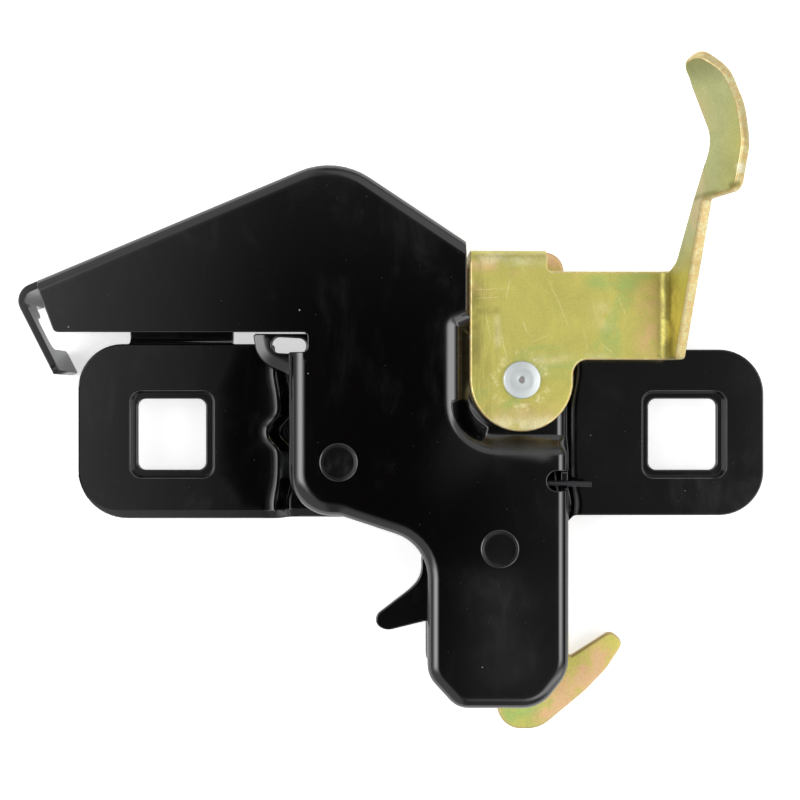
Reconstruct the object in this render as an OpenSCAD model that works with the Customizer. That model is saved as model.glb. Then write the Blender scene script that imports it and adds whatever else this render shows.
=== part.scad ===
// Bonnet latch: a pressed black case, a cable hook on the left and a plated safety lever on the right.
// Millimetres. X is right, Y is away from the viewer, Z is up.
// Y = 0 is the back of the mounting pads, and X = 0 is halfway between the two square holes.

/* [Sheet] */
// thickness of the cover
cover_sheet = 2.3; // [2:0.1:2.8]
// thickness of the base plate
base_sheet = 2.5; // [2:0.1:3]
// thickness of the hook lever
hook_sheet = 4; // [3:0.1:5]
// thickness of the safety lever
lever_sheet = 3.4; // [3:0.1:4]

/* [Mounting] */
// distance between the square holes
hole_spacing = 169.2; // [160:0.2:180]
// width of a square hole
hole_w = 22.5; // [18:0.5:24]
// height of a square hole
hole_h = 23.5; // [18:0.5:25]
// flat border of a pad round its hole
pad_border = 2.7; // [1.5:0.1:4]
// how far a pad is pressed back
pad_depth = 3.5; // [3:0.1:4.5]
// width of a wing beyond its hole centre
wing_reach = 28.1; // [26:0.1:34]
// height of a wing
wing_h = 54.6; // [48:0.2:60]
// corner radius of a wing
wing_r = 14.6; // [8:0.2:18]

/* [Case] */
// depth of the cover rim behind its face
rim_depth = 8.3; // [8:0.1:10]
// how far the land under the safety lever is set back
land_step = 4.2; // [3.6:0.1:4.8]
// how far the tray is set back from the wings
tray_step = 7; // [5:0.1:9]
// lowest edge of the grip
grip_low = -87.6; // [-95:0.2:-86]
// right side of the grip
grip_right = 45.4; // [44:0.1:46]
// left side of the grip
grip_left = -0.1; // [-1:0.1:1]
// depth of the cable bracket
bracket_depth = 28; // [22:0.5:32]
// width of the cable bracket slot
bracket_slot = 11.5; // [8:0.1:12]

/* [Pivots] */
// shank radius of the rivets
shank_r = 4; // [3:0.1:4.4]
// head radius of the rivets
head_r = 6.2; // [5.5:0.1:7]
// journal radius of the hook bush
journal_r = 6.5; // [5.8:0.1:7.5]
// running clearance round each pivot
pivot_gap = 0.05; // [0.02:0.01:0.1]
// side clearance of the hook lever
side_gap = 0.6; // [0.4:0.1:1]

/* [Springs] */
// wire diameter of the springs
wire_d = 1.8; // [1.4:0.1:2]
// turns of the hook spring
hook_turns = 3; // [2:1:3]
// turns of the safety spring
safety_turns = 4; // [2:1:5]

/* [Hidden] */
$fn = 64;
past = 1;
arc_step = 12;

// depths, from the mounting plane forward and back
wing_back = -pad_depth;
wing_front = wing_back - base_sheet;
hook_back = wing_front - side_gap;
hook_front = hook_back - hook_sheet;
rim_rear = hook_front - side_gap;
cover_front = rim_rear - rim_depth;
cover_in = cover_front + cover_sheet;
land_front = cover_front + land_step;
land_back = land_front + cover_sheet;
tray_front = wing_front + tray_step;
tray_back = tray_front + base_sheet;
front_washer_t = 0.5;
rear_washer_t = 3;
leg_back = land_front - front_washer_t;
leg_front = leg_back - lever_sheet;
rear_front = tray_back + rear_washer_t;
rear_back = rear_front + lever_sheet;

// pivot centres
hook_pivot = [-28.6, -8.6];
post = [23, -36.3];
lever_pivot = [30, 17.8];

// rivets
dish_r = 4.9;
dish_depth = 0.45;
flat_head = 0.9;
round_head = 1.9;
rear_head = 2;
dimple_r = 1.3;
dimple_depth = 0.7;

// sleeves and washers
bore_r = shank_r + pivot_gap;
bush_r = 9;
sleeve_r = shank_r + 1.2;
thrust_gap = 0.1;
washer_r = 8.5;

// cover outline
body_left = -45;
panel_right = 12.4;
panel_low = 38.7;
slope = 22.75;
apex = [-29.4, 90.3];
arm_low = 33.1;
arm_cut_low = [-119.8, 33.1];
arm_cut_top = [-126, 49.8];
arm_cut_side = 60;
slit_low = 26.8;
slit_end = -38.6;
slit_r = 1.6;
arm_left = -150;
lap_left = -62;
lap_right = -42;
body_corners = [
    [36.2, grip_low, 7],
    [grip_right, grip_low + 11.4, 7],
    [grip_right, panel_low, 4],
    [panel_right, panel_low, 2],
    [panel_right, 62.4, 5],
    [apex.x, apex.y, 24],
    [lap_left, apex.y - (apex.x - lap_left) * tan(slope), 4],
    [lap_left, 38, 4],
    [body_left, 30, 4],
    [body_left, -26, 14],
    [-28.2, -26, 8],
    [grip_left, -35.2, 15],
    [grip_left, -75.2, 7],
    [9.6, grip_low, 7]
];
arm_corners = [
    [arm_left, slit_low - cover_sheet, 4],
    [lap_right, slit_low - cover_sheet, 4],
    [lap_right, apex.y - (apex.x - lap_right) * tan(slope), 4],
    [arm_left, apex.y - (apex.x - arm_left) * tan(slope), 4]
];
land_left = 7.4;
land_low = -3.4;
land_r = 15;
notch = [41.3, -14.6];
notch_r = 3.2;

// cable bracket
bracket_corner = [-134.4, 46.3];
bracket_foot = [-120.8, 19.6];
bracket_r = 5.6;
bracket_set_back = 3.2;
bracket_near = cover_front + bracket_set_back;
bracket_rear = bracket_near + bracket_depth;
bracket_lean = atan2(bracket_foot.x - bracket_corner.x, bracket_corner.y - bracket_foot.y);
slot_start = 8.6;
slot_bottom = 8;
lobe_depth = 15;
rim_run = 92;
rim_full = 14;

// base plate
left_top = 29.8;
right_top = 28;
hole_x = hole_spacing / 2;
hole_r = 2.6;
pad_r = 4;
pad_wall = 2;
left_wall = -50;
right_wall = 47.4;
tray_top = 24;
tray_low = -26.5;
tail_low = grip_low + 7;
lip_back = 3.2;
lip_drop = 3;
left_extra = 2.2;
right_short = 2;
lip_left = -hole_x - wing_reach - left_extra + wing_r;
tab_left = -98;
tab_right = -64;

// springs
wire_r = wire_d / 2;
coil_step = wire_d - 0.1;
hook_coil_r = sleeve_r + wire_r + 0.4;
safety_coil_r = sleeve_r + wire_r + 0.6;
hook_coil_y = cover_in + wire_r + 0.4;
hook_coil_end = hook_coil_y + (hook_turns - 1) * coil_step;
safety_coil_y = land_back + wire_r + 0.05;
safety_coil_end = safety_coil_y + (safety_turns - 1) * coil_step;
wire_end_x = 52.8;
push_z = -42.5;
safety_end_z = 42;
leg_right = safety_coil_r - wire_r - 0.15;

// hook lever, measured from its pivot
hook_hub_r = 13;
eye_start = [-19.6, 38];
eye_end = [-13.6, 37.4];
eye_r = 2.6;
curl_w = 3.2;
curl_h = 2.2;
ear_top = [-28.4, 41.6];
ear_side = [-27, 33];
ear_foot = [-17, 28.4];
ear_side_r = 9;
curl_foot = [-17.6, 28.8];
curl_rise = 1.4;
curl_r = 7;
hook_edge = 37.1;
hook_corners = [
    [-12, 4, 0],
    [-9, 20, 8],
    [ear_foot.x, ear_foot.y, 5],
    [ear_side.x, ear_side.y, ear_side_r],
    [ear_top.x, ear_top.y, 1],
    [-6.5, ear_top.y, 4],
    [4, 14, 14],
    [13, 2, 0],
    [38, -26, 10],
    [36.8, -35.5, 6],
    [31.5, -42.5, 4],
    [31, -51.5, 2],
    [15.2, -55.4, 5],
    [9.2, -52.2, 3],
    [22.3, -42.2, 12],
    [26.6, -38, 9],
    [26.6, -28, 5],
    [-4, -13, 0]
];

// safety lever, measured from its pivot
boss_r = 16.6;
fold_top = 41.8;
fold_right = 8.4;
fold_r = 4.8;
arm_top = 34.8;
arm_under = 6.4;
tab_x = 46.5;
tab_past = 0.15;
tab_lean = 10;
pad_lean = 28;
pad_from = 31.5;
shoulder_r = 6.4;
shoulder_up = 1.6;
front_corners = [
    [-boss_r, 0, 0],
    [boss_r, 0, 0],
    [boss_r, arm_under, 4.5],
    [tab_x + lever_sheet, arm_under, 0],
    [tab_x + lever_sheet, arm_top, 0],
    [fold_right, arm_top, 1.6],
    [fold_right, fold_top - fold_r, 0],
    [-boss_r, fold_top - fold_r, 0]
];
rear_corners = [
    [-boss_r, -6, 40],
    [-9, -70, 40],
    [-5.6, -117.4, 8],
    [7, -117.4, 12],
    [24.5, -103.8, 26],
    [36.3, -88, 2.2],
    [31.3, -84.4, 2.4],
    [18.6, -92.8, 2.6],
    [16, -74, 14],
    [12, -40, 30],
    [boss_r, 0, 7],
    [leg_right, 15, 5],
    [leg_right, 31, 3],
    [fold_right + 7.8, 31, 2],
    [fold_right + 7.8, fold_top + shoulder_up, shoulder_r],
    [fold_right - past, fold_top + shoulder_up, 0],
    [fold_right - past, fold_top - fold_r, 0],
    [-boss_r, fold_top - fold_r, 0]
];
// finger tab and pad: distance forward of the leg, and height
tab_corners = [
    [lever_sheet, arm_under - tab_past, 0],
    [-7.4, arm_under - tab_past, 1],
    [-pad_from, 56.5, 0],
    [-pad_from, 64.5, 0],
    [-22.5, 54.6, 8],
    [-8, 37.2, 8],
    [-1.5, arm_top + tab_past, 3],
    [lever_sheet, arm_top + tab_past, 0]
];
pad_corners = [
    [0, 53.6, 0],
    [-13.6, 54.6, 4],
    [-16.6, 67, 16],
    [-14, 81, 16],
    [-4.4, 98.2, 10],
    [7.6, 97.8, 5],
    [8.2, 88.6, 6],
    [-2.6, 71.6, 12],
    [0, 62.6, 0]
];

// unit vector of v
function unit(v) = v / norm(v);

// one rounded corner at b between a and c, as points of an arc
function corner(a, b, c) =
    let (p = [b.x, b.y], u = unit([a.x, a.y] - p), v = unit([c.x, c.y] - p), r = b[2])
    r == 0 ? [p] :
    let (
        half = acos(u * v) / 2,
        mid = p + unit(u + v) * (r / sin(half)),
        start = p + u * (r / tan(half)) - mid,
        end = p + v * (r / tan(half)) - mid,
        a0 = atan2(start.y, start.x),
        turn = (atan2(end.y, end.x) - a0 + 540) % 360 - 180,
        n = max(2, ceil(abs(turn) / arc_step - 0.01))
    )
    [for (k = [0:n]) mid + r * [cos(a0 + turn * k / n), sin(a0 + turn * k / n)]];

// outline of a list of corners, each given as x, z and radius
function rounded(c) =
    let (n = len(c))
    [for (i = [0:n - 1]) each corner(c[(i + n - 1) % n], c[i], c[(i + 1) % n])];

// corners moved inward by d, for an outline that runs anticlockwise
function inset(c, d) =
    let (n = len(c))
    [for (i = [0:n - 1])
        let (
            p = [c[i].x, c[i].y],
            q0 = c[(i + n - 1) % n],
            q1 = c[(i + 1) % n],
            u = unit(p - [q0.x, q0.y]),
            v = unit([q1.x, q1.y] - p),
            bend = u.x * v.y - u.y * v.x,
            k = d / (1 + u * v),
            m = p + k * ([-u.y, u.x] + [-v.y, v.x])
        )
        [m.x, m.y, max(0.4, c[i][2] + (bend > 0 ? -d : d))]];

// flat plate in the XZ plane from depth y0 to y1
module plate(points, y0, y1) {
    translate([0, y1, 0])
        rotate([90, 0, 0])
            linear_extrude(y1 - y0)
                polygon(points);
}

// round bar along Y at p, from depth y0 to y1
module bar(p, r, y0, y1) {
    translate([p.x, y1, p.y])
        rotate([90, 0, 0])
            cylinder(r = r, h = y1 - y0);
}

// profile in the YZ plane drawn out along X
module drawn(points, x0, x1) {
    translate([x0, 0, 0])
        rotate([90, 0, 90])
            linear_extrude(x1 - x0)
                polygon(points);
}

// left side of the cut that frees the arm, its slit and its left end
module arm_cut() {
    plate([
        [arm_left - past, -20],
        [body_left - 12, -20],
        [body_left - 12, arm_low],
        [arm_cut_low.x, arm_cut_low.y],
        [arm_cut_top.x, arm_cut_top.y],
        [arm_cut_top.x - 3, arm_cut_top.y + 20],
        [arm_left - past, arm_cut_side]
    ], cover_front - past, rim_rear + past);
    plate(rounded([
        [body_left - 13, slit_low, 0],
        [slit_end, slit_low, slit_r],
        [slit_end, arm_low, slit_r],
        [body_left - 13, arm_low, 0]
    ]), cover_front - past, rim_rear + past);
    plate([
        [body_left - 13, -20],
        [body_left, -20],
        [body_left, slit_low + past],
        [body_left - 13, slit_low + past]
    ], cover_front - past, rim_rear + past);
}

// strip folded from the arm's top rim down into the cable bracket
module bracket_strip() {
    along = [cos(slope), sin(slope)];
    down = [sin(bracket_lean), -cos(bracket_lean)];
    far_top = bracket_corner + 12 * along;
    ends = [
        [bracket_foot.x, bracket_foot.y, 0],
        [far_top.x, far_top.y, 0],
        [bracket_corner.x, bracket_corner.y, bracket_r]
    ];
    core = inset(ends, cover_sheet)[2];
    difference() {
        plate(rounded(ends), bracket_near, bracket_rear);
        plate(rounded([
            [core.x + 60 * down.x, core.y + 60 * down.y, 0],
            [core.x + 60 * along.x, core.y + 60 * along.y, 0],
            core
        ]), bracket_near - past, bracket_rear + past);
        translate([bracket_corner.x, 0, bracket_corner.y])
            rotate([0, -bracket_lean, 0]) {
                translate([-past * 5, bracket_near + slot_bottom, -slot_start - bracket_slot])
                    cube([10, bracket_depth, bracket_slot]);
                translate([-past * 5, bracket_near + lobe_depth, -slot_start - past])
                    cube([10, bracket_depth, 6]);
            }
    }
}

// deep part of the arm's top rim, tapering to the common rim
module deep_rim() {
    translate([bracket_corner.x, 0, bracket_corner.y])
        rotate([0, -slope, 0])
            translate([bracket_r, 0, -cover_sheet])
                linear_extrude(cover_sheet)
                    polygon([
                        [0, bracket_near],
                        [rim_run, bracket_near],
                        [rim_run, rim_rear],
                        [rim_full, bracket_rear],
                        [0, bracket_rear]
                    ]);
}

module cover() {
    color([0.05, 0.05, 0.055])
    union() {
        difference() {
            union() {
                plate(rounded(body_corners), cover_front, rim_rear);
                plate(rounded(arm_corners), cover_front, rim_rear);
            }
            plate(rounded(inset(body_corners, cover_sheet)), cover_in, rim_rear + past);
            plate(rounded(inset(arm_corners, cover_sheet)), cover_in, rim_rear + past);
            arm_cut();
            plate(rounded([
                [land_left, land_low, land_r],
                [grip_right + past, land_low, 0],
                [grip_right + past, panel_low + past, 0],
                [panel_right, panel_low + past, 0],
                [panel_right, panel_low, 0],
                [land_left, panel_low - 2, 2]
            ]), cover_front - past, land_front);
            bar(hook_pivot, bore_r, cover_front - past, cover_in + past);
            bar(post, bore_r, cover_front - past, cover_in + past);
            notch_cut();
        }
        land();
        bracket_strip();
        deep_rim();
    }
}

// opening at the grip's right edge that lets the spring wire out
module notch_cut() {
    bar(notch, notch_r, cover_front - past, hook_coil_y + wire_d);
    translate([notch.x, cover_front - past, notch.y - notch_r])
        cube([grip_right - notch.x + past, hook_coil_y + wire_d - cover_front + past, 2 * notch_r]);
}

// set-back land that the safety lever turns on, with its wall
module land() {
    edge = [
        [land_left - cover_sheet, land_low - cover_sheet, land_r],
        [grip_right - 0.2, land_low - cover_sheet, 0],
        [grip_right - 0.2, panel_low - 0.2, 3],
        [land_left - cover_sheet, panel_low - 0.2, 2]
    ];
    difference() {
        plate(rounded(edge), cover_in - past / 2, land_back);
        plate(rounded([
            [land_left, land_low, land_r],
            [grip_right + past, land_low, 0],
            [grip_right + past, panel_low + past, 0],
            [land_left, panel_low + past, 0]
        ]), cover_front - past, land_front);
        bar(lever_pivot, bore_r, land_front - past, land_back + past);
    }
}

// a wing of the base plate, from its inner side to its outer end
module wing(inner, outer, top) {
    low = top - wing_h;
    side = sign(outer - inner);
    c = [[inner, low, 0], [outer, low, wing_r], [outer, top, wing_r], [inner, top, 0]];
    plate(rounded(side > 0 ? c : [for (i = [3:-1:0]) c[i]]), wing_front, wing_back);
}

// pressed pad round a square hole centred at x
module pad(x) {
    w = hole_w / 2 + pad_border + pad_wall;
    h = hole_h / 2 + pad_border + pad_wall;
    plate(rounded([[x - w, -h, pad_r], [x + w, -h, pad_r], [x + w, h, pad_r], [x - w, h, pad_r]]),
        wing_front, 0);
}

// recess and square hole of a pad centred at x
module pad_cut(x) {
    w = hole_w / 2;
    h = hole_h / 2;
    b = pad_border;
    plate(rounded([
        [x - w - b, -h - b, pad_r],
        [x + w + b, -h - b, pad_r],
        [x + w + b, h + b, pad_r],
        [x - w - b, h + b, pad_r]
    ]), wing_front - past, -base_sheet);
    plate(rounded([[x - w, -h, hole_r], [x + w, -h, hole_r], [x + w, h, hole_r], [x - w, h, hole_r]]),
        wing_front - past, past);
}

// lip bent back along an edge at height z, toward dir
module lip(z, dir, x0, x1) {
    drawn([
        [wing_front, z],
        [wing_front + lip_back, z + dir * lip_drop],
        [wing_front + lip_back + base_sheet * 0.7, z + dir * (lip_drop - base_sheet * 0.7)],
        [wing_back, z - dir]
    ], x0, x1);
}

module base_plate() {
    color([0.045, 0.045, 0.05])
    difference() {
        union() {
            wing(left_wall + base_sheet, -hole_x - wing_reach - left_extra, left_top);
            wing(right_wall - base_sheet, hole_x + wing_reach - right_short, right_top);
            pad(-hole_x);
            pad(hole_x);
            lip(left_top - wing_h, -1, lip_left, left_wall);
            lip(left_top, 1, tab_left, tab_right);
            plate([
                [left_wall, tray_low],
                [left_wall + base_sheet, tray_low],
                [left_wall + base_sheet, tray_top],
                [left_wall, tray_top]
            ], wing_front, tray_back);
            plate([
                [right_wall - base_sheet, tray_low],
                [right_wall, tray_low],
                [right_wall, tray_top],
                [right_wall - base_sheet, tray_top]
            ], wing_front, tray_back);
            plate(rounded([
                [left_wall, tray_low, 0],
                [grip_left - 8, tray_low, 8],
                [grip_left - 0.3, tray_low - 12, 8],
                [grip_left - 0.3, tail_low, 8],
                [grip_right - 0.6, tail_low, 8],
                [grip_right - 0.6, tray_low - 4, 2],
                [right_wall, tray_low, 0],
                [right_wall, tray_top, 0],
                [left_wall, tray_top, 0]
            ]), tray_front, tray_back);
        }
        plate([
            [left_wall - past * 6, tray_top],
            [left_wall + base_sheet + past, tray_top],
            [left_wall + base_sheet + past, left_top + 5],
            [left_wall - past * 6, left_top + 5]
        ], wing_front - past, tray_back + past);
        pad_cut(-hole_x);
        pad_cut(hole_x);
        bar(hook_pivot, bore_r, tray_front - past, tray_back + past);
        bar(post, bore_r, tray_front - past, tray_back + past);
        bar(lever_pivot, bore_r, tray_front - past, tray_back + past);
    }
}

module hook_lever() {
    color([0.05, 0.05, 0.055])
    translate([hook_pivot.x, 0, hook_pivot.y])
    difference() {
        union() {
            plate(rounded(hook_corners), hook_front, hook_back);
            bar([0, 0], hook_hub_r, hook_front, hook_back);
            plate(rounded([
                [ear_top.x, ear_top.y, 0],
                [ear_side.x, ear_side.y, ear_side_r],
                [curl_foot.x, curl_foot.y, 0],
                [ear_side.x + curl_w, ear_side.y + curl_rise, curl_r],
                [ear_top.x + curl_w, ear_top.y, 0]
            ]), hook_front - curl_h, hook_front + past);
        }
        bar([0, 0], journal_r + pivot_gap, hook_front - past, hook_back + past);
        plate(rounded([
            [eye_start.x - eye_r, eye_start.y - eye_r, eye_r - 0.1],
            [eye_end.x + eye_r, eye_end.y - eye_r, eye_r - 0.1],
            [eye_end.x + eye_r, eye_end.y + eye_r, eye_r - 0.1],
            [eye_start.x - eye_r, eye_start.y + eye_r, eye_r - 0.1]
        ]), hook_front - past, hook_back + past);
    }
}

// U-shaped fold that joins the two legs of the safety lever
module fold() {
    low = fold_top - fold_r - past;
    c = [
        [rear_back, low, 0],
        [rear_back, fold_top, fold_r],
        [leg_front, fold_top, fold_r],
        [leg_front, low, 0]
    ];
    inside = [
        [rear_front, low - past, 0],
        [rear_front, fold_top - lever_sheet, fold_r - lever_sheet],
        [leg_back, fold_top - lever_sheet, fold_r - lever_sheet],
        [leg_back, low - past, 0]
    ];
    difference() {
        drawn(rounded(c), -boss_r, fold_right);
        drawn(rounded(inside), -boss_r - past, fold_right + past);
    }
}

// tab bent forward at the end of the front leg, with the finger pad
module finger_tab() {
    translate([tab_x, leg_front, 0])
        rotate([0, 0, tab_lean]) {
            drawn(rounded(tab_corners), 0, lever_sheet);
            translate([0, -pad_from, 0])
                rotate([0, 0, pad_lean - tab_lean])
                    drawn(rounded(pad_corners), 0, lever_sheet);
        }
}

module safety_lever() {
    color([0.72, 0.66, 0.38])
    translate([lever_pivot.x, 0, lever_pivot.y])
    difference() {
        union() {
            plate(rounded(front_corners), leg_front, leg_back);
            bar([0, 0], boss_r, leg_front, leg_back);
            plate(rounded(rear_corners), rear_front, rear_back);
            fold();
            finger_tab();
        }
        bar([0, 0], bore_r, leg_front - past, leg_back + past);
        bar([0, 0], bore_r, rear_front - past, rear_back + past);
    }
}

// rivet at p with a dished front head, from the cover face to the tray back
module case_rivet(p) {
    difference() {
        union() {
            bar(p, head_r, cover_front - flat_head, cover_front);
            bar(p, shank_r, cover_front - flat_head, tray_back + rear_head);
            bar(p, head_r - 0.4, tray_back, tray_back + rear_head);
        }
        bar(p, dish_r, cover_front - flat_head - past, cover_front - flat_head + dish_depth);
    }
}

module hook_pivot_rivet() {
    color([0.05, 0.05, 0.055]) case_rivet(hook_pivot);
}

module spacer_rivet() {
    color([0.05, 0.05, 0.055]) case_rivet(post);
}

module lever_pivot_rivet() {
    color([0.75, 0.77, 0.77])
    difference() {
        union() {
            bar(lever_pivot, head_r, leg_front - round_head, leg_front);
            bar(lever_pivot, shank_r, leg_front - round_head, rear_back + rear_head);
            bar(lever_pivot, head_r, rear_back, rear_back + rear_head);
        }
        bar(lever_pivot, dimple_r, leg_front - round_head - past, leg_front - round_head + dimple_depth);
    }
}

module hook_bush() {
    color([0.6, 0.61, 0.62])
    difference() {
        union() {
            bar(hook_pivot, bush_r, hook_back + thrust_gap, tray_front);
            bar(hook_pivot, journal_r, cover_in, tray_front);
        }
        bar(hook_pivot, bore_r, cover_in - past, tray_front + past);
    }
}

module hook_spacer_ring() {
    color([0.6, 0.61, 0.62])
    difference() {
        bar(hook_pivot, bush_r, cover_in, hook_front - thrust_gap);
        bar(hook_pivot, journal_r + pivot_gap, cover_in - past, hook_front + past);
    }
}

module spacer_sleeve() {
    color([0.6, 0.61, 0.62])
    difference() {
        bar(post, sleeve_r, cover_in, tray_front);
        bar(post, bore_r, cover_in - past, tray_front + past);
    }
}

module lever_sleeve() {
    color([0.6, 0.61, 0.62])
    difference() {
        bar(lever_pivot, sleeve_r, land_back, tray_front);
        bar(lever_pivot, bore_r, land_back - past, tray_front + past);
    }
}

module front_washer() {
    color([0.7, 0.71, 0.72])
    difference() {
        bar(lever_pivot, washer_r, leg_back, land_front);
        bar(lever_pivot, bore_r, leg_back - past, land_front + past);
    }
}

module rear_washer() {
    color([0.7, 0.71, 0.72])
    difference() {
        bar(lever_pivot, washer_r, tray_back, rear_front);
        bar(lever_pivot, bore_r, tray_back - past, rear_front + past);
    }
}

// close-wound coil round p, running back from y0
module coil(p, r, y0, turns) {
    translate([p.x, y0, p.y])
        rotate([-90, 0, 0])
            rotate_extrude()
                for (k = [0:turns - 1])
                    translate([r, k * coil_step])
                        circle(r = wire_r, $fn = 12);
}

// straight wire from a to b, run on past b to close the bend there
module wire(a, b) {
    v = b - a;
    translate(a)
        rotate([0, acos(v.z / norm(v)), atan2(v.y, v.x)])
            cylinder(r = wire_r, h = norm(v) + wire_r * 0.9, $fn = 12);
}

module hook_spring() {
    leg_x = post.x + hook_coil_r;
    edge_x = hook_pivot.x + hook_edge + wire_r;
    low = post.y - hook_coil_r;
    color([0.09, 0.09, 0.095])
    union() {
        coil(post, hook_coil_r, hook_coil_y, hook_turns);
        wire([leg_x, hook_coil_y, post.y], [leg_x, hook_coil_y, notch.y - 0.6]);
        wire([leg_x, hook_coil_y, notch.y - 0.6], [wire_end_x, hook_coil_y, notch.y - 1.2]);
        wire([post.x, hook_coil_end, low], [edge_x, hook_coil_end, low]);
        wire([edge_x, hook_coil_end, low], [edge_x, hook_back - 1, low]);
    }
}

module safety_spring() {
    leg_x = lever_pivot.x + safety_coil_r;
    top = lever_pivot.y + safety_coil_r;
    color([0.09, 0.09, 0.095])
    union() {
        coil(lever_pivot, safety_coil_r, safety_coil_y, safety_turns);
        wire([lever_pivot.x, safety_coil_y, top], [grip_right - cover_sheet - wire_r, safety_coil_y, top]);
        wire([leg_x, safety_coil_end, lever_pivot.y], [leg_x, safety_coil_end, safety_end_z]);
        wire([leg_x, safety_coil_end, safety_end_z], [leg_x, rear_back - 1, safety_end_z]);
    }
}

cover();
base_plate();
hook_lever();
safety_lever();
hook_pivot_rivet();
spacer_rivet();
lever_pivot_rivet();
hook_bush();
hook_spacer_ring();
spacer_sleeve();
lever_sleeve();
front_washer();
rear_washer();
hook_spring();
safety_spring();
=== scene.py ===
"""Looks of a bonnet latch: pressed black case, black hook, yellow plated safety lever, rivets and springs.

Sizes are in millimetres until a mesh is made. X is right, Y is away from the viewer and Z is up, and Y = 0
is the back of the mounting pads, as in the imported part. Sheet parts start as flat blanks with rounded
edges, and are then pressed or folded into shape.
"""

import logging
import math
from collections.abc import Callable, Sequence
from dataclasses import dataclass, field
from enum import Enum

import bpy
import numpy as np
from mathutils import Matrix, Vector
from mathutils.geometry import delaunay_2d_cdt


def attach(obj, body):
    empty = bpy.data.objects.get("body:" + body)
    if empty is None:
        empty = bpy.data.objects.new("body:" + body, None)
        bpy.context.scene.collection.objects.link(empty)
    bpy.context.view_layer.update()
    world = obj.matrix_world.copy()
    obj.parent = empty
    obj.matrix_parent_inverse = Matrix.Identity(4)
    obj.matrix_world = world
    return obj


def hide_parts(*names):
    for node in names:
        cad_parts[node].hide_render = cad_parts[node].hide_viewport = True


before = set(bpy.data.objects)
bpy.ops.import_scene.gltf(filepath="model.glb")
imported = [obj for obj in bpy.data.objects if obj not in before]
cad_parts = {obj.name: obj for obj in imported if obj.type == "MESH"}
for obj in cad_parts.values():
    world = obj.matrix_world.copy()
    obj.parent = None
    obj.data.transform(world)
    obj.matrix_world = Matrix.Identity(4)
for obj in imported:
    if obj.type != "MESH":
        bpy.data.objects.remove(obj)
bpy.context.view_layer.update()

LOG = logging.getLogger("bonnet_latch")
MM = 0.001
ARC_STEP = math.radians(7.5)
FRONT = np.array((0.0, -1.0, 0.0))
# Tolerances: points that become one, twice a sliver's area, points on a path, past a path's end, no length
MERGE_GAP = 3e-4
SLIVER_AREA = 2e-4
ON_PATH = 1e-3
PAST_END = 1e-6
TINY = 1e-12
# Limits of mitres
LEAST_MITRE = 0.3
LEAST_LEAN = 0.6
# The rim's flat blank: columns that fall together, points that are the face's, and a depth past both edges
SAME_COLUMN = 0.02
SAME_POINT = 2e-3
FAR = 60.0
WHITE = (1.0, 1.0, 1.0, 1.0)
AROUND = ((-1, -1), (1, -1), (1, 1), (-1, 1))
INSIDE = (
    "hook_bush", "hook_spacer_ring", "spacer_sleeve", "lever_sleeve", "front_washer", "rear_washer",
)

Array = np.ndarray
Pair = tuple[float, float]
Pairs = tuple[Pair, ...]
Corner = tuple[float, float, float]
Colour = tuple[float, float, float, float]
Material = bpy.types.Material
Object = bpy.types.Object


class Body(Enum):
    """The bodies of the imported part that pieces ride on."""

    CASE = "case"
    HOOK = "hook"
    LEVER = "lever"


class Slot(Enum):
    """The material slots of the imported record."""

    PAINT = "black_paint"
    YELLOW = "yellow_zinc"
    ZINC = "zinc"
    SPRING = "spring_steel"


# Depths from the mounting plane, and pivots


@dataclass(frozen=True)
class Layout:
    """Depths and pivot centres that the pieces share.

    Attributes:
        cover_front: front face of the cover.
        rim_rear: rear edge of the cover's rim.
        wing_front: front face of the wings.
        hook_front: front face of the hook lever.
        leg_front: front face of the safety lever.
        leg_rear: rear face of the safety lever.
        tray_back: rear face of the tray.
        hook_pivot: hook pivot, x and z.
        post: lower rivet, x and z.
        lever_pivot: safety lever pivot, x and z.
    """

    cover_front: float = -19.5
    rim_rear: float = -11.2
    wing_front: float = -6.0
    hook_front: float = -10.6
    leg_front: float = -19.2
    leg_rear: float = 9.9
    tray_back: float = 3.5
    hook_pivot: Pair = (-28.6, -8.6)
    post: Pair = (23.0, -36.3)
    lever_pivot: Pair = (30.0, 17.8)


# Outlines and paths in a plane


def rounded(corners: Sequence[Corner], closed: bool = True) -> Array:
    """Points of an outline whose corners are arcs.

    Args:
        corners: x, z and radius of each corner.
        closed: whether the last corner joins the first.

    Returns:
        One row per point.
    """
    count = len(corners)
    parts: list[Array] = []
    for i, (x, z, radius) in enumerate(corners):
        here = np.array((x, z))
        if radius == 0 or (not closed and i in (0, count - 1)):
            parts.append(here[None])
            continue
        u = np.array(corners[i - 1][:2]) - here
        v = np.array(corners[(i + 1) % count][:2]) - here
        u, v = u / np.linalg.norm(u), v / np.linalg.norm(v)
        half = math.acos(float(np.clip(u @ v, -1, 1))) / 2
        centre = here + (u + v) / np.linalg.norm(u + v) * radius / math.sin(half)
        start = here + u * radius / math.tan(half) - centre
        end = here + v * radius / math.tan(half) - centre
        first = math.atan2(start[1], start[0])
        turn = (math.atan2(end[1], end[0]) - first + 3 * math.pi) % (2 * math.pi) - math.pi
        angles = first + turn * np.linspace(0, 1, max(2, math.ceil(abs(turn) / ARC_STEP)) + 1)
        parts.append(centre + radius * np.column_stack((np.cos(angles), np.sin(angles))))
    return np.concatenate(parts)


def circle(centre: Pair, radius: float, sides: int = 48) -> Array:
    """Points of a circle."""
    angles = np.arange(sides) * 2 * math.pi / sides
    return np.array(centre) + radius * np.column_stack((np.cos(angles), np.sin(angles)))


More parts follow.
